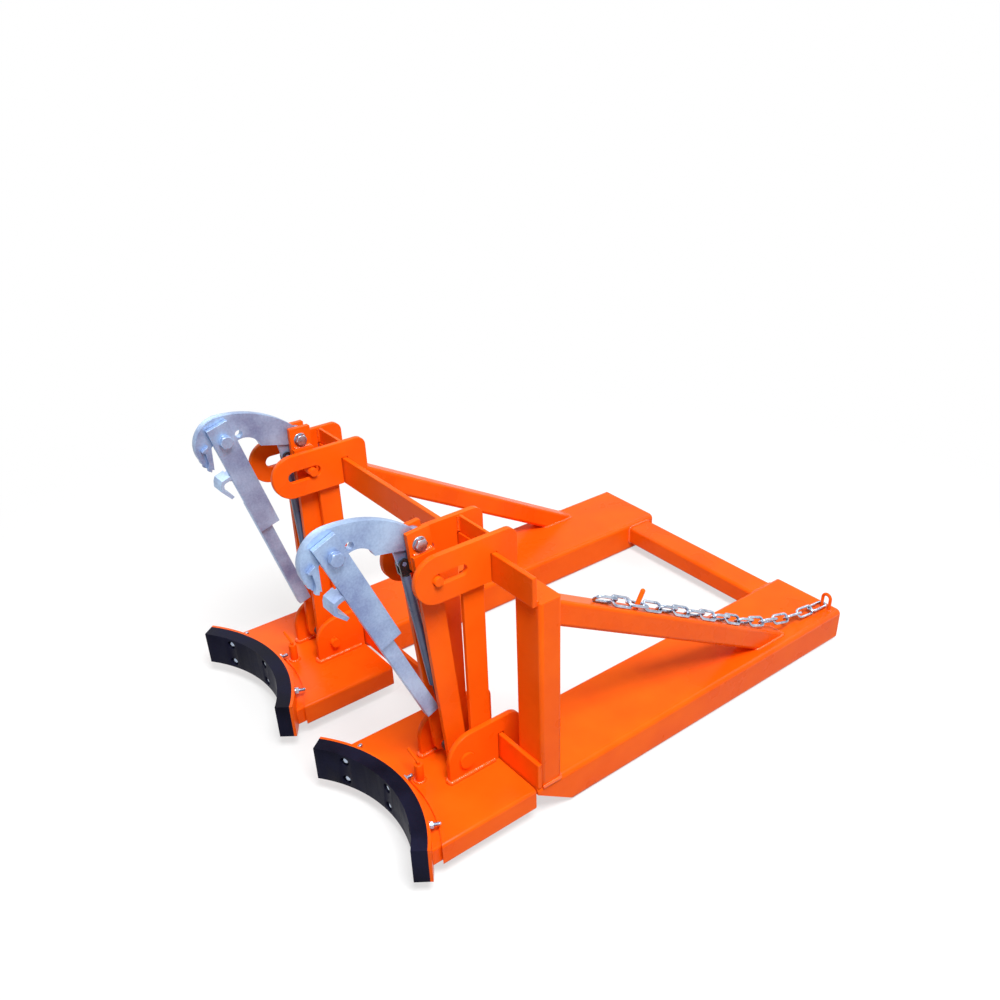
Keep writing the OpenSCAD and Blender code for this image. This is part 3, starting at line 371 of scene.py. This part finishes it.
def weld_bead_tree():
    """Turns the edges of a mesh into beads with ripples and small swells."""
    tree = bpy.data.node_groups.new("weld_bead", "GeometryNodeTree")
    face = tree.interface
    face.new_socket("Geometry", in_out="INPUT", socket_type="NodeSocketGeometry")
    for label, value in (
        ("Bead Radius", 0.003),
        ("Ripple Pitch", 0.0045),
        ("Ripple Depth", 0.12),
        ("Swell", 0.7),
        ("Step", 0.0015),
        ("Seed", 1.0),
    ):
        socket = face.new_socket(label, in_out="INPUT", socket_type="NodeSocketFloat")
        socket.default_value = value
    face.new_socket("Finish", in_out="INPUT", socket_type="NodeSocketMaterial")
    face.new_socket("Geometry", in_out="OUTPUT", socket_type="NodeSocketGeometry")
    nodes = tree.nodes
    links = tree.links
    given = nodes.new("NodeGroupInput")
    result = nodes.new("NodeGroupOutput")
    path = nodes.new("GeometryNodeMeshToCurve")
    links.new(given.outputs["Geometry"], path.inputs["Mesh"])
    steps = nodes.new("GeometryNodeResampleCurve")
    steps.mode = "LENGTH"
    links.new(path.outputs["Curve"], steps.inputs["Curve"])
    links.new(given.outputs["Step"], steps.inputs["Length"])

    def calculate(operation, first, second=None):
        node = nodes.new("ShaderNodeMath")
        node.operation = operation
        for socket, value in zip(node.inputs, (first, second)):
            if value is None:
                continue
            if isinstance(value, float):
                socket.default_value = value
            else:
                links.new(value, socket)
        return node.outputs[0]

    along = nodes.new("GeometryNodeSplineParameter")
    turns = calculate("DIVIDE", along.outputs["Length"], given.outputs["Ripple Pitch"])
    wave = calculate("SINE", calculate("MULTIPLY", turns, 2.0 * math.pi))
    ripple = calculate("MULTIPLY", wave, given.outputs["Ripple Depth"])
    place = nodes.new("GeometryNodeInputPosition")
    swell = nodes.new("ShaderNodeTexNoise")
    swell.noise_dimensions = "4D"
    swell.inputs["Scale"].default_value = 70.0
    links.new(place.outputs["Position"], swell.inputs["Vector"])
    links.new(given.outputs["Seed"], swell.inputs["W"])
    uneven = calculate("SUBTRACT", swell.outputs["Fac"], 0.5)
    uneven = calculate("MULTIPLY", uneven, given.outputs["Swell"])
    thickness = calculate("ADD", calculate("ADD", ripple, 1.0), uneven)
    section = nodes.new("GeometryNodeCurvePrimitiveCircle")
    section.inputs["Resolution"].default_value = 10
    links.new(given.outputs["Bead Radius"], section.inputs["Radius"])
    body = nodes.new("GeometryNodeCurveToMesh")
    links.new(steps.outputs["Curve"], body.inputs["Curve"])
    links.new(section.outputs["Curve"], body.inputs["Profile Curve"])
    links.new(thickness, body.inputs["Scale"])
    body.inputs["Fill Caps"].default_value = True
    smooth = nodes.new("GeometryNodeSetShadeSmooth")
    links.new(body.outputs["Mesh"], smooth.inputs["Geometry"])
    real = nodes.new("GeometryNodeRealizeInstances")
    links.new(smooth.outputs["Geometry"], real.inputs["Geometry"])
    finish = nodes.new("GeometryNodeSetMaterial")
    links.new(real.outputs["Geometry"], finish.inputs["Geometry"])
    links.new(given.outputs["Finish"], finish.inputs["Material"])
    links.new(finish.outputs["Geometry"], result.inputs["Geometry"])
    return tree


weld_tree = weld_bead_tree()


def grown_piece(name, mesh, tree, values, body):
    """Runs a tree on a mesh and keeps the result as one plain piece that rides on a body."""
    seed_object = bpy.data.objects.new(name + "_path", mesh)
    bpy.context.scene.collection.objects.link(seed_object)
    growth = seed_object.modifiers.new("growth", "NODES")
    growth.node_group = tree
    inputs = [item for item in tree.interface.items_tree if item.in_out == "INPUT"]
    sockets = {item.name: item.identifier for item in inputs}
    for label, value in values.items():
        growth[sockets[label]] = value
    shape = bpy.context.evaluated_depsgraph_get()
    grown = bpy.data.meshes.new_from_object(seed_object.evaluated_get(shape))
    bpy.data.objects.remove(seed_object)
    bpy.data.meshes.remove(mesh)
    piece = bpy.data.objects.new(name, grown)
    bpy.context.scene.collection.objects.link(piece)
    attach(piece, body)
    return piece


def rounded(points, radius, closed=False):
    """The same path with an arc in place of each corner."""
    points = [Vector(point) for point in points]
    count = len(points)
    path = []
    for index, corner in enumerate(points):
        if not closed and index in (0, count - 1):
            path.append(corner)
            continue
        before = (points[index - 1] - corner).normalized()
        after = (points[(index + 1) % count] - corner).normalized()
        middle = corner + (before + after) * radius
        for step in range(ARC_STEPS + 1):
            turn = math.pi / 2 * step / ARC_STEPS
            path.append(middle - after * radius * math.cos(turn) - before * radius * math.sin(turn))
    return path + path[:1] if closed else path


def ring(centre, radius, axis=(0.0, 0.0, 1.0)):
    """A closed round path about an axis."""
    turn = Vector((0.0, 0.0, 1.0)).rotation_difference(Vector(axis)).to_matrix()
    return [
        Vector(centre) + turn @ Vector((radius * math.cos(a), radius * math.sin(a), 0.0))
        for a in (2 * math.pi * step / RING_STEPS for step in range(RING_STEPS + 1))
    ]


def weld_beads(name, paths, radius, body, material, seed):
    """Lays one bead along each path."""
    points = []
    edges = []
    for path in paths:
        edges += [(len(points) + i, len(points) + i + 1) for i in range(len(path) - 1)]
        points += [tuple(point) for point in path]
    mesh = bpy.data.meshes.new(name + "_path")
    mesh.from_pydata(points, edges, [])
    values = {"Bead Radius": radius, "Seed": float(seed), "Finish": material}
    return grown_piece(name, mesh, weld_tree, values, body)


frame_paths = []
tube_low, tube_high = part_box("rear_cross_tube")
for side in SIDES:
    outward = 1.0 if side == "right" else -1.0
    post_low, post_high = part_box("post_" + side)
    brace_low, brace_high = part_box("brace_" + side)
    foot = post_low.z
    post_in = post_low.x if side == "right" else post_high.x
    post_out = post_high.x if side == "right" else post_low.x
    frame_paths.append(rounded([
        (post_in + outward * TUBE_CORNER, post_high.y, foot),
        (post_out, post_high.y, foot),
        (post_out, post_low.y + POST_FOOT_END, foot),
    ], TUBE_CORNER))
    frame_paths.append([
        (post_low.x + POST_TOP_ENDS[0], post_low.y, post_high.z),
        (post_high.x - POST_TOP_ENDS[1], post_low.y, post_high.z),
    ])
    brace_in = brace_low.x if side == "right" else brace_high.x
    brace_out = brace_high.x if side == "right" else brace_low.x
    brace_under = brace_high.z - BRACE_SIDE / math.cos(BRACE_SLOPE)
    frame_paths.append(rounded([
        (brace_in + outward * BRACE_TOP_END, brace_low.y, brace_under),
        (brace_out, brace_low.y, brace_under),
        (brace_out, brace_low.y, brace_high.z),
        (brace_in + outward * BRACE_TOP_END, brace_low.y, brace_high.z),
    ], TUBE_CORNER))
    brace_heel = brace_high.y - BRACE_SIDE / math.sin(BRACE_SLOPE)
    frame_paths.append(rounded([
        (brace_in, brace_heel, foot),
        (brace_out, brace_heel, foot),
        (brace_out, brace_high.y - BRACE_HEEL_END, foot),
        (brace_in, brace_high.y - BRACE_HEEL_END, foot),
    ], TUBE_CORNER, closed=True))
    tube_end = tube_high.x if side == "right" else tube_low.x
    frame_paths.append(rounded([
        (tube_end, tube_low.y, tube_low.z),
        (tube_end, tube_high.y, tube_low.z),
        (tube_end, tube_high.y, tube_high.z),
        (tube_end, tube_low.y, tube_high.z),
    ], TUBE_CORNER, closed=True))
weld_beads("frame_welds", frame_paths, FRAME_BEAD, "frame", bead_enamel, FRAME_BEAD_SEED)

# Safety chain
# A zinc-plated welded chain that keeps the part on the truck. It is linked to a bent eye on the
# right sleeve and hooked over a rod horn on the brace. Eye and horn are welded on and painted.
HORN_LENGTH = 0.040
HORN_ROD = 0.010
EYE_HALF = 0.011
EYE_ROD = 0.008
CHAIN_BEAD = 0.0022
CHAIN_BEAD_OUT = 0.0004
CHAIN_BEAD_SEED = 5
bright_zinc = coated_material(
    "bright_zinc",
    deep=(0.27, 0.33, 0.44, 1.0),
    pale=(0.60, 0.67, 0.78, 1.0),
    patch=60.0,
    grain=900.0,
    roughness=(0.18, 0.32),
    bump=(0.12, 0.0004),
    constants={"Metallic": 1.0},
)
finish_nodes(("chain_eye", "chain_horn"), orange_enamel)
finish_nodes(("safety_chain",), bright_zinc)
eye_low, eye_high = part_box("chain_eye")
eye_middle = (eye_low + eye_high) / 2
horn_low, horn_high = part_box("chain_horn")
horn_axis = Vector((0.0, math.sin(BRACE_SLOPE), math.cos(BRACE_SLOPE)))
horn_tip = Vector((
    (horn_low.x + horn_high.x) / 2,
    horn_high.y - HORN_ROD / 2,
    horn_high.z - HORN_ROD / 2,
))
chain_paths = [
    ring((eye_middle.x + leg * EYE_HALF, eye_middle.y, eye_low.z), EYE_ROD / 2 + CHAIN_BEAD_OUT)
    for leg in (-1.0, 1.0)
]
horn_foot = horn_tip - horn_axis * HORN_LENGTH
chain_paths.append(ring(horn_foot, HORN_ROD / 2 + CHAIN_BEAD_OUT, horn_axis))
weld_beads("chain_welds", chain_paths, CHAIN_BEAD, "frame", bead_enamel, CHAIN_BEAD_SEED)

# Heads
# Each head hangs over both cross bars: a saddle box of bent plate, two bracket plates, two mast
# bars and two slotted head plates, welded and sprayed as the frame is. A steel pivot pin at the
# foot of the masts and a loose lock pin in its boss are sprayed along with them.
HEAD_PLATES = ("bracket_plates", "mast_bars", "head_plates", "head_spacer")
HEAD_ROUNDS = ("pivot_pin", "lock_boss")
HEAD_PLATE_EDGE = 0.0018
HEAD_ROUND_EDGE = 0.0008
SADDLE_EDGE = 0.0022
HEAD_BEAD = 0.0042
HEAD_BEAD_SEEDS = {"left": 12, "right": 11}
SADDLE_BEAD = 0.0054
SADDLE_BEAD_LIFT = 0.0026
SADDLE_BEAD_CORNER = 0.003
SADDLE_BEAD_ENDS = (0.010, 0.004)
SADDLE_BEAD_SEEDS = {"left": 14, "right": 13}
MAST_BEAD_IN = 0.001
PLATE_BEAD_END = 0.002
BRACKET_BEAD_ENDS = (0.006, 0.004)
SPACER_BEAD_ENDS = (0.004, 0.002)
BOSS_BEAD_OUT = 0.0004
HEAD_PLACE = {"left": -0.260, "right": 0.260}
PLATE_OUT = 0.057
PLATE_IN = 0.045
MAST_IN = 0.035
for side in SIDES:
    finish_nodes([piece + "_" + side for piece in HEAD_PLATES], orange_enamel, HEAD_PLATE_EDGE)
    finish_nodes(["saddle_" + side], orange_enamel, SADDLE_EDGE)
    finish_nodes([piece + "_" + side for piece in HEAD_ROUNDS], orange_enamel, HEAD_ROUND_EDGE)
    finish_nodes(["lock_pin_" + side], orange_enamel)
    middle = HEAD_PLACE[side]
    saddle_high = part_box("saddle_" + side)[1]
    bracket_low, bracket_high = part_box("bracket_plates_" + side)
    mast_low, mast_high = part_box("mast_bars_" + side)
    plate_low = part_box("head_plates_" + side)[0]
    spacer_low, spacer_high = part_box("head_spacer_" + side)
    boss_low, boss_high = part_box("lock_boss_" + side)
    deck = saddle_high.z
    seam = deck + SADDLE_BEAD_LIFT
    head_paths = []
    saddle_paths = []
    for hand in (-1.0, 1.0):
        outer = middle + hand * PLATE_OUT
        inner = middle + hand * PLATE_IN
        within = middle + hand * MAST_IN
        saddle_paths.append(rounded([
            (outer, saddle_high.y - SADDLE_BEAD_ENDS[0], seam),
            (outer, bracket_low.y, seam),
            (inner, bracket_low.y, seam),
            (inner, mast_low.y - SADDLE_BEAD_ENDS[1], seam),
        ], SADDLE_BEAD_CORNER))
        head_paths.append([
            (inner - hand * MAST_BEAD_IN, mast_low.y, deck),
            (within, mast_low.y, deck),
            (within, mast_high.y, deck),
        ])
        head_paths.append([
            (inner, mast_low.y + PLATE_BEAD_END, plate_low.z),
            (inner, mast_high.y, plate_low.z),
        ])
        head_paths.append([
            (inner, mast_low.y, deck + BRACKET_BEAD_ENDS[0]),
            (inner, mast_low.y, bracket_high.z - BRACKET_BEAD_ENDS[1]),
        ])
        for face_y in (spacer_low.y, spacer_high.y):
            head_paths.append([
                (inner, face_y, spacer_low.z + SPACER_BEAD_ENDS[0]),
                (inner, face_y, spacer_high.z - SPACER_BEAD_ENDS[1]),
            ])
    boss_middle = (boss_low + boss_high) / 2
    boss_radius = (boss_high.x - boss_low.x) / 2
    head_paths.append(ring((boss_middle.x, boss_middle.y, deck), boss_radius + BOSS_BEAD_OUT))
    weld_beads("head_welds_" + side, head_paths, HEAD_BEAD, "head_" + side, bead_enamel,
               HEAD_BEAD_SEEDS[side])
    weld_beads("saddle_welds_" + side, saddle_paths, SADDLE_BEAD, "head_" + side, bead_enamel,
               SADDLE_BEAD_SEEDS[side])

# Pads
# A sliding box with a curved steel plate carries a thick moulded rubber pad, held by six bolts
# whose domed heads sit in round recesses of the rubber, with washers and nuts behind the plate.
DRUM_MIDDLE_Y = -0.83667
PAD_SEAT = 0.296
PAD_ANGLES = (66.0, 90.0, 114.0)
PAD_ROWS = (0.0525, 0.0995)
PAD_SHANK = 0.008
PAD_HEAD = 0.015
PAD_HEAD_RISE = 0.004
PAD_HEAD_TILTS = (4, 16, 28, 40, 52, 64, 74, 82, 90)
PAD_PLATE_BACK = 0.0302
PAD_WASHER = 0.017
PAD_WASHER_THICKNESS = 0.0016
PAD_NUT = 0.013
PAD_NUT_THICKNESS = 0.0065
PAD_TAIL = 0.052
PAD_TAIL_CONE = (0.001, 0.0012)
PAD_THREAD_PITCH = 0.00125
PAD_BOLT_STEPS = 24
PAD_PLATE_EDGE = 0.0008
RUBBER_EDGE = 0.0012
# The pale bluish patches of the rubber are partly scuffs and partly painted sheen.
pad_rubber = coated_material(
    "pad_rubber",
    deep=(0.0040, 0.0040, 0.0110, 1.0),
    pale=(0.0110, 0.0115, 0.0300, 1.0),
    patch=11.0,
    grain=300.0,
    roughness=(0.30, 0.56),
    bump=(0.35, 0.0008),
    constants={"Specular IOR Level": 0.035},
    speckle=0.5,
)
bolt_zinc = coated_material(
    "bolt_zinc",
    deep=(0.30, 0.36, 0.46, 1.0),
    pale=(0.52, 0.58, 0.68, 1.0),
    patch=70.0,
    grain=900.0,
    roughness=(0.24, 0.38),
    bump=(0.12, 0.0004),
    constants={"Metallic": 1.0},
)


def round_ring(place, radius):
    """One round ring of a turned body."""
    return place, lambda angle: radius


def hexagon_ring(place, turned, across):
    """One six-sided ring whose corners are turned down to a radius."""
    return place, lambda angle: min(turned, across / 2 / math.cos(angle % (math.pi / 3) - math.pi / 6))


def thread_rings(start, end, diameter, pitch):
    """Rings of a screw thread, four to a turn of the screw."""
    count = int((end - start) / pitch * 4)
    depth = 0.55 * pitch

    def groove(place):
        def reach(angle):
            share = (place / pitch - angle / (2 * math.pi)) % 1.0
            return diameter / 2 - depth * abs(2 * share - 1)
        return reach

    places = [start + (end - start) * index / count for index in range(count + 1)]
    return [(place, groove(place)) for place in places]


def hexagon_body(low, high, across):
    """Rings of a nut or a bolt head, its corners turned down to a flat cone at both faces."""
    turned = 0.475 * across
    corner = across / 2 / math.cos(math.pi / 6)
    slope = math.tan(math.radians(30.0))
    reaches = [turned + (corner - turned) * step / ARC_STEPS for step in range(ARC_STEPS + 1)]
    under = [hexagon_ring(low + (reach - turned) * slope, reach, across) for reach in reaches]
    over = [hexagon_ring(high - (reach - turned) * slope, reach, across) for reach in reversed(reaches)]
    return under + over


def washer_body(low, high, diameter):
    """Rings of a flat washer with its edges broken."""
    soft = 0.0003
    return [
        round_ring(low, diameter / 2 - soft),
        round_ring(low + soft, diameter / 2),
        round_ring(high - soft, diameter / 2),
        round_ring(high, diameter / 2 - soft),
    ]


def turned_mesh(name, rings, steps, material):
    """A closed body from rings about the Z axis, smooth except where it turns sharply."""
    points = []
    for place, reach in rings:
        for step in range(steps):
            angle = 2 * math.pi * step / steps
            points.append((reach(angle) * math.cos(angle), reach(angle) * math.sin(angle), place))
    faces = [tuple(reversed(range(steps))), tuple(range(len(points) - steps, len(points)))]
    for row in range(len(rings) - 1):
        for step in range(steps):
            here = row * steps + step
            beside = row * steps + (step + 1) % steps
            faces.append((here, beside, beside + steps, here + steps))
    mesh = bpy.data.meshes.new(name)
    mesh.from_pydata(points, [], faces)
    mesh.polygons.foreach_set("use_smooth", [True] * len(faces))
    mesh.set_sharp_from_angle(angle=math.radians(24.0))
    mesh.materials.append(material)
    return mesh


def aimed_copies_tree():
    """Sets a copy of one object on every point, turned to the point's own direction."""
    tree = bpy.data.node_groups.new("aimed_copies", "GeometryNodeTree")
    face = tree.interface
    face.new_socket("Geometry", in_out="INPUT", socket_type="NodeSocketGeometry")
    face.new_socket("Copied Object", in_out="INPUT", socket_type="NodeSocketObject")
    face.new_socket("Finish", in_out="INPUT", socket_type="NodeSocketMaterial")
    face.new_socket("Geometry", in_out="OUTPUT", socket_type="NodeSocketGeometry")
    nodes = tree.nodes
    links = tree.links
    given = nodes.new("NodeGroupInput")
    result = nodes.new("NodeGroupOutput")
    source = nodes.new("GeometryNodeObjectInfo")
    links.new(given.outputs["Copied Object"], source.inputs["Object"])
    direction = nodes.new("GeometryNodeInputNamedAttribute")
    direction.data_type = "FLOAT_VECTOR"
    direction.inputs["Name"].default_value = "aim"
    turn = nodes.new("FunctionNodeAlignRotationToVector")
    turn.axis = "Z"
    links.new(direction.outputs["Attribute"], turn.inputs["Vector"])
    copies = nodes.new("GeometryNodeInstanceOnPoints")
    links.new(given.outputs["Geometry"], copies.inputs["Points"])
    links.new(source.outputs["Geometry"], copies.inputs["Instance"])
    links.new(turn.outputs["Rotation"], copies.inputs["Rotation"])
    real = nodes.new("GeometryNodeRealizeInstances")
    links.new(copies.outputs["Instances"], real.inputs["Geometry"])
    finish = nodes.new("GeometryNodeSetMaterial")
    links.new(real.outputs["Geometry"], finish.inputs["Geometry"])
    links.new(given.outputs["Finish"], finish.inputs["Material"])
    links.new(finish.outputs["Geometry"], result.inputs["Geometry"])
    return tree


copies_tree = aimed_copies_tree()
dome = [
    round_ring(-PAD_HEAD_RISE + PAD_HEAD_RISE * (1 - math.cos(math.radians(tilt))),
               PAD_HEAD / 2 * math.sin(math.radians(tilt)))
    for tilt in PAD_HEAD_TILTS
]
nut_low = PAD_PLATE_BACK + PAD_WASHER_THICKNESS
nut_high = nut_low + PAD_NUT_THICKNESS
pad_bolt_rings = dome + [
    round_ring(0.0, PAD_SHANK / 2),
    round_ring(PAD_PLATE_BACK, PAD_SHANK / 2),
    *washer_body(PAD_PLATE_BACK, nut_low, PAD_WASHER),
    *hexagon_body(nut_low, nut_high, PAD_NUT),
    *thread_rings(nut_high, PAD_TAIL - PAD_TAIL_CONE[0], PAD_SHANK, PAD_THREAD_PITCH),
    round_ring(PAD_TAIL, PAD_SHANK / 2 - PAD_TAIL_CONE[1]),
]
for side in SIDES:
    finish_nodes(["slide_box_" + side], orange_enamel)
    finish_nodes(["pad_plate_" + side], orange_enamel, PAD_PLATE_EDGE)
    finish_nodes(["rubber_pad_" + side], pad_rubber, RUBBER_EDGE)
    bolt_mesh = turned_mesh("pad_bolt", pad_bolt_rings, PAD_BOLT_STEPS, bolt_zinc)
    model_bolt = bpy.data.objects.new("pad_bolt_model", bolt_mesh)
    bpy.context.scene.collection.objects.link(model_bolt)
    seats = []
    aims = []
    for row in PAD_ROWS:
        for angle in PAD_ANGLES:
            aim = Vector((math.cos(math.radians(angle)), math.sin(math.radians(angle)), 0.0))
            seats.append(Vector((HEAD_PLACE[side], DRUM_MIDDLE_Y, row)) + aim * PAD_SEAT)
            aims.append(aim)
    seat_mesh = bpy.data.meshes.new("pad_bolt_seats")
    seat_mesh.from_pydata(seats, [], [])
    seat_aims = seat_mesh.attributes.new("aim", "FLOAT_VECTOR", "POINT")
    seat_aims.data.foreach_set("vector", [value for aim in aims for value in aim])
    values = {"Copied Object": model_bolt, "Finish": bolt_zinc}
    bolts = grown_piece("pad_bolt_set_" + side, seat_mesh, copies_tree, values, "pad_carriage_" + side)
    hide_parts("pad_bolts_" + side)
    bpy.data.objects.remove(model_bolt)

# Arms
# Two flat bars with lugs at their top lean on the pivot pin, and a guide pin in the slots of the
# head plates limits their tilt. The beak turns on a zinc-plated bolt with washers through the lugs.
ARM_FOOT = (-0.39767, 0.126)
ARM_LEAN = {"left": math.radians(-1.2), "right": math.radians(4.8)}
ARM_TOP = 0.468
ARM_HALF = 0.022
ARM_IN = 0.019
ARM_EDGE = 0.0018
GUIDE_PIN_EDGE = 0.0008
ARM_BEAD = 0.0062
ARM_BEAD_OUT = 0.001
ARM_BEAD_END = 0.004
ARM_BEAD_SEEDS = {"left": 22, "right": 21}
BEAK_BOLT = 0.014
BEAK_SEATS = (-0.019, 0.019)
BEAK_WASHER = 0.027
BOLT_STEPS = 48


def joint_place(name):
    """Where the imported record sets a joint."""
    joints = frame["record"]["behaviour"]["joints"]
    return next(joint["pos_m"] for joint in joints if joint["name"] == name)


def hexagon_bolt(name, joint, diameter, seats, washer, material, body, node):
    """A hexagon bolt with nut and washers across a joint, its head on the right."""
    left, right = seats
    across = 1.5 * diameter
    head_height = 0.62 * diameter
    nut_height = 0.8 * diameter
    washer_height = 0.0018
    tail = 0.004
    tail_cone = (0.0008, 0.0016)
    thread_pitch = 0.002
    shank = diameter / 2 - 0.0001
    nut_end = left - washer_height - nut_height
    tail_end = nut_end - tail + washer_height
    head_under = right + washer_height
    rings = [
        round_ring(tail_end, diameter / 2 - tail_cone[1]),
        *thread_rings(tail_end + tail_cone[0], nut_end, diameter, thread_pitch),
        *hexagon_body(nut_end, left - washer_height, across),
        *washer_body(left - washer_height, left, washer),
        round_ring(left, shank),
        round_ring(right, shank),
        *washer_body(right, head_under, washer),
        *hexagon_body(head_under, head_under + head_height, across),
    ]
    mesh = turned_mesh(name, rings, BOLT_STEPS, material)
    across_head = Matrix(((0, 0, 1, 0), (1, 0, 0, 0), (0, 1, 0, 0), (0, 0, 0, 1)))
    mesh.transform(Matrix.Translation(Vector(joint_place(joint))) @ across_head)
    bolt = bpy.data.objects.new(name, mesh)
    bpy.context.scene.collection.objects.link(bolt)
    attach(bolt, body)
    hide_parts(node)


for side in SIDES:
    finish_nodes(["arm_bars_" + side, "arm_lugs_" + side], orange_enamel, ARM_EDGE)
    finish_nodes(["guide_pin_" + side], orange_enamel, GUIDE_PIN_EDGE)
    lean = ARM_LEAN[side]
    top_y = ARM_FOOT[0] - ARM_TOP * math.sin(lean)
    top_z = ARM_FOOT[1] + ARM_TOP * math.cos(lean)
    arm_paths = []
    for hand in (-1.0, 1.0):
        arm_paths.append([
            (
                HEAD_PLACE[side] + hand * (ARM_IN + ARM_BEAD_OUT),
                top_y + reach * math.cos(lean),
                top_z + reach * math.sin(lean),
            )
            for reach in (-ARM_HALF + ARM_BEAD_END, 0.0, ARM_HALF - ARM_BEAD_END)
        ])
    weld_beads("arm_welds_" + side, arm_paths, ARM_BEAD, "arm_" + side, bead_enamel,
               ARM_BEAD_SEEDS[side])
    hexagon_bolt("beak_pivot_bolt_" + side, "beak_tilt_" + side, BEAK_BOLT, BEAK_SEATS, BEAK_WASHER,
                 bolt_zinc, "arm_" + side, "beak_bolt_" + side)

# Beaks and levers
# The beak is a thick flame-cut plate with a hardened claw, and the lever is a plate with a jaw and
# a long bar behind it, all hot-dip galvanised, so that pale and dull patches show in the zinc.
LEVER_LEAN = {"left": math.radians(16.25), "right": math.radians(22.82)}
LEVER_PLATE_END = 0.219
LEVER_PLATE_IN = 0.009
LEVER_BAR_REACH = (-0.021, 0.007)
LEVER_FRONT = -0.023
JAW_UNDER = 0.0805
JAW_HALF = 0.018
LEVER_BOLT = 0.016
LEVER_SEATS = (-0.0083, 0.0193)
LEVER_WASHER = 0.025
BEAK_EDGE = 0.0010
CLAW_EDGE = 0.0008
LEVER_BEAD = 0.0038
LEVER_BEAD_SEEDS = {"left": 32, "right": 31}
FOOT_BEAD_OUT = 0.0005
FOOT_BEAD_END = 0.002
JAW_BEAD_OUT = 0.001
JAW_BEAD_END = 0.003
galvanised = coated_material(
    "galvanised",
    deep=(0.20, 0.26, 0.47, 1.0),
    pale=(0.42, 0.57, 0.79, 1.0),
    patch=12.0,
    grain=240.0,
    roughness=(0.30, 0.46),
    bump=(0.25, 0.0005),
    constants={"Metallic": 0.5},
    speckle=0.7,
)


def on_lever(side, across, reach, down):
    """A point of a lever: across the head, rearwards and down along its plate."""
    lean = LEVER_LEAN[side]
    pivot = joint_place("lever_swing_" + side)
    return (
        HEAD_PLACE[side] + across,
        pivot[1] + down * math.sin(lean) + reach * math.cos(lean),
        pivot[2] - down * math.cos(lean) + reach * math.sin(lean),
    )


for side in SIDES:
    finish_nodes(["beak_hook_" + side, "lever_plate_" + side], galvanised, BEAK_EDGE)
    finish_nodes(["lever_jaw_" + side, "lever_bar_" + side], galvanised, BEAK_EDGE)
    finish_nodes(["beak_claw_" + side], galvanised, CLAW_EDGE)
    hexagon_bolt("lever_pivot_bolt_" + side, "lever_swing_" + side, LEVER_BOLT, LEVER_SEATS, LEVER_WASHER,
                 galvanised, "beak_" + side, "lever_bolt_" + side)
    foot_bead = [
        on_lever(side, LEVER_PLATE_IN + FOOT_BEAD_OUT, reach, LEVER_PLATE_END)
        for reach in (LEVER_BAR_REACH[0] + FOOT_BEAD_END, LEVER_BAR_REACH[1] - FOOT_BEAD_END)
    ]
    jaw_bead = [
        on_lever(side, across, LEVER_FRONT - JAW_BEAD_OUT, JAW_UNDER)
        for across in (-JAW_HALF + JAW_BEAD_END, JAW_HALF - JAW_BEAD_END)
    ]
    weld_beads("lever_welds_" + side, [foot_bead, jaw_bead], LEVER_BEAD, "lever_" + side,
               galvanised, LEVER_BEAD_SEEDS[side])

# Gas springs
# A gas spring lifts each beak: a grey enamelled barrel with a black fork end at its top, and a
# dark hardened rod with a moulded eye on the pivot pin.
FORK_END_Z = 0.548
FORK_END_BLEND = 0.0004
FORK_END_BLACK = (0.014, 0.014, 0.016, 1.0)
spring_enamel = coated_material(
    "spring_enamel",
    deep=(0.060, 0.085, 0.165, 1.0),
    pale=(0.095, 0.125, 0.220, 1.0),
    patch=20.0,
    grain=500.0,
    roughness=(0.20, 0.30),
    bump=(0.1, 0.0004),
    constants={"Specular IOR Level": 0.5},
)
spring_nodes = spring_enamel.node_tree.nodes
spring_links = spring_enamel.node_tree.links
spring_place = spring_nodes.new("ShaderNodeTexCoord")
spring_height = spring_nodes.new("ShaderNodeSeparateXYZ")
spring_links.new(spring_place.outputs["Object"], spring_height.inputs["Vector"])
fork_end = spring_nodes.new("ShaderNodeMapRange")
fork_end.inputs["From Min"].default_value = FORK_END_Z - FORK_END_BLEND
fork_end.inputs["From Max"].default_value = FORK_END_Z + FORK_END_BLEND
spring_links.new(spring_height.outputs["Z"], fork_end.inputs["Value"])
spring_tone = spring_nodes.new("ShaderNodeMix")
spring_tone.data_type = "RGBA"
spring_tone.inputs["B"].default_value = FORK_END_BLACK
spring_links.new(fork_end.outputs["Result"], spring_tone.inputs["Factor"])
spring_links.new(spring_nodes["coat"].outputs["Colour"], spring_tone.inputs["A"])
spring_links.new(spring_tone.outputs["Result"], spring_nodes["Principled BSDF"].inputs["Base Color"])
spring_black = coated_material(
    "spring_black",
    deep=(0.012, 0.012, 0.014, 1.0),
    pale=(0.030, 0.030, 0.034, 1.0),
    patch=30.0,
    grain=600.0,
    roughness=(0.30, 0.45),
    bump=(0.1, 0.0004),
    constants={"Specular IOR Level": 0.5},
)
for side in SIDES:
    finish_nodes(["spring_barrel_" + side], spring_enamel)
    finish_nodes(["spring_rod_" + side], spring_black)
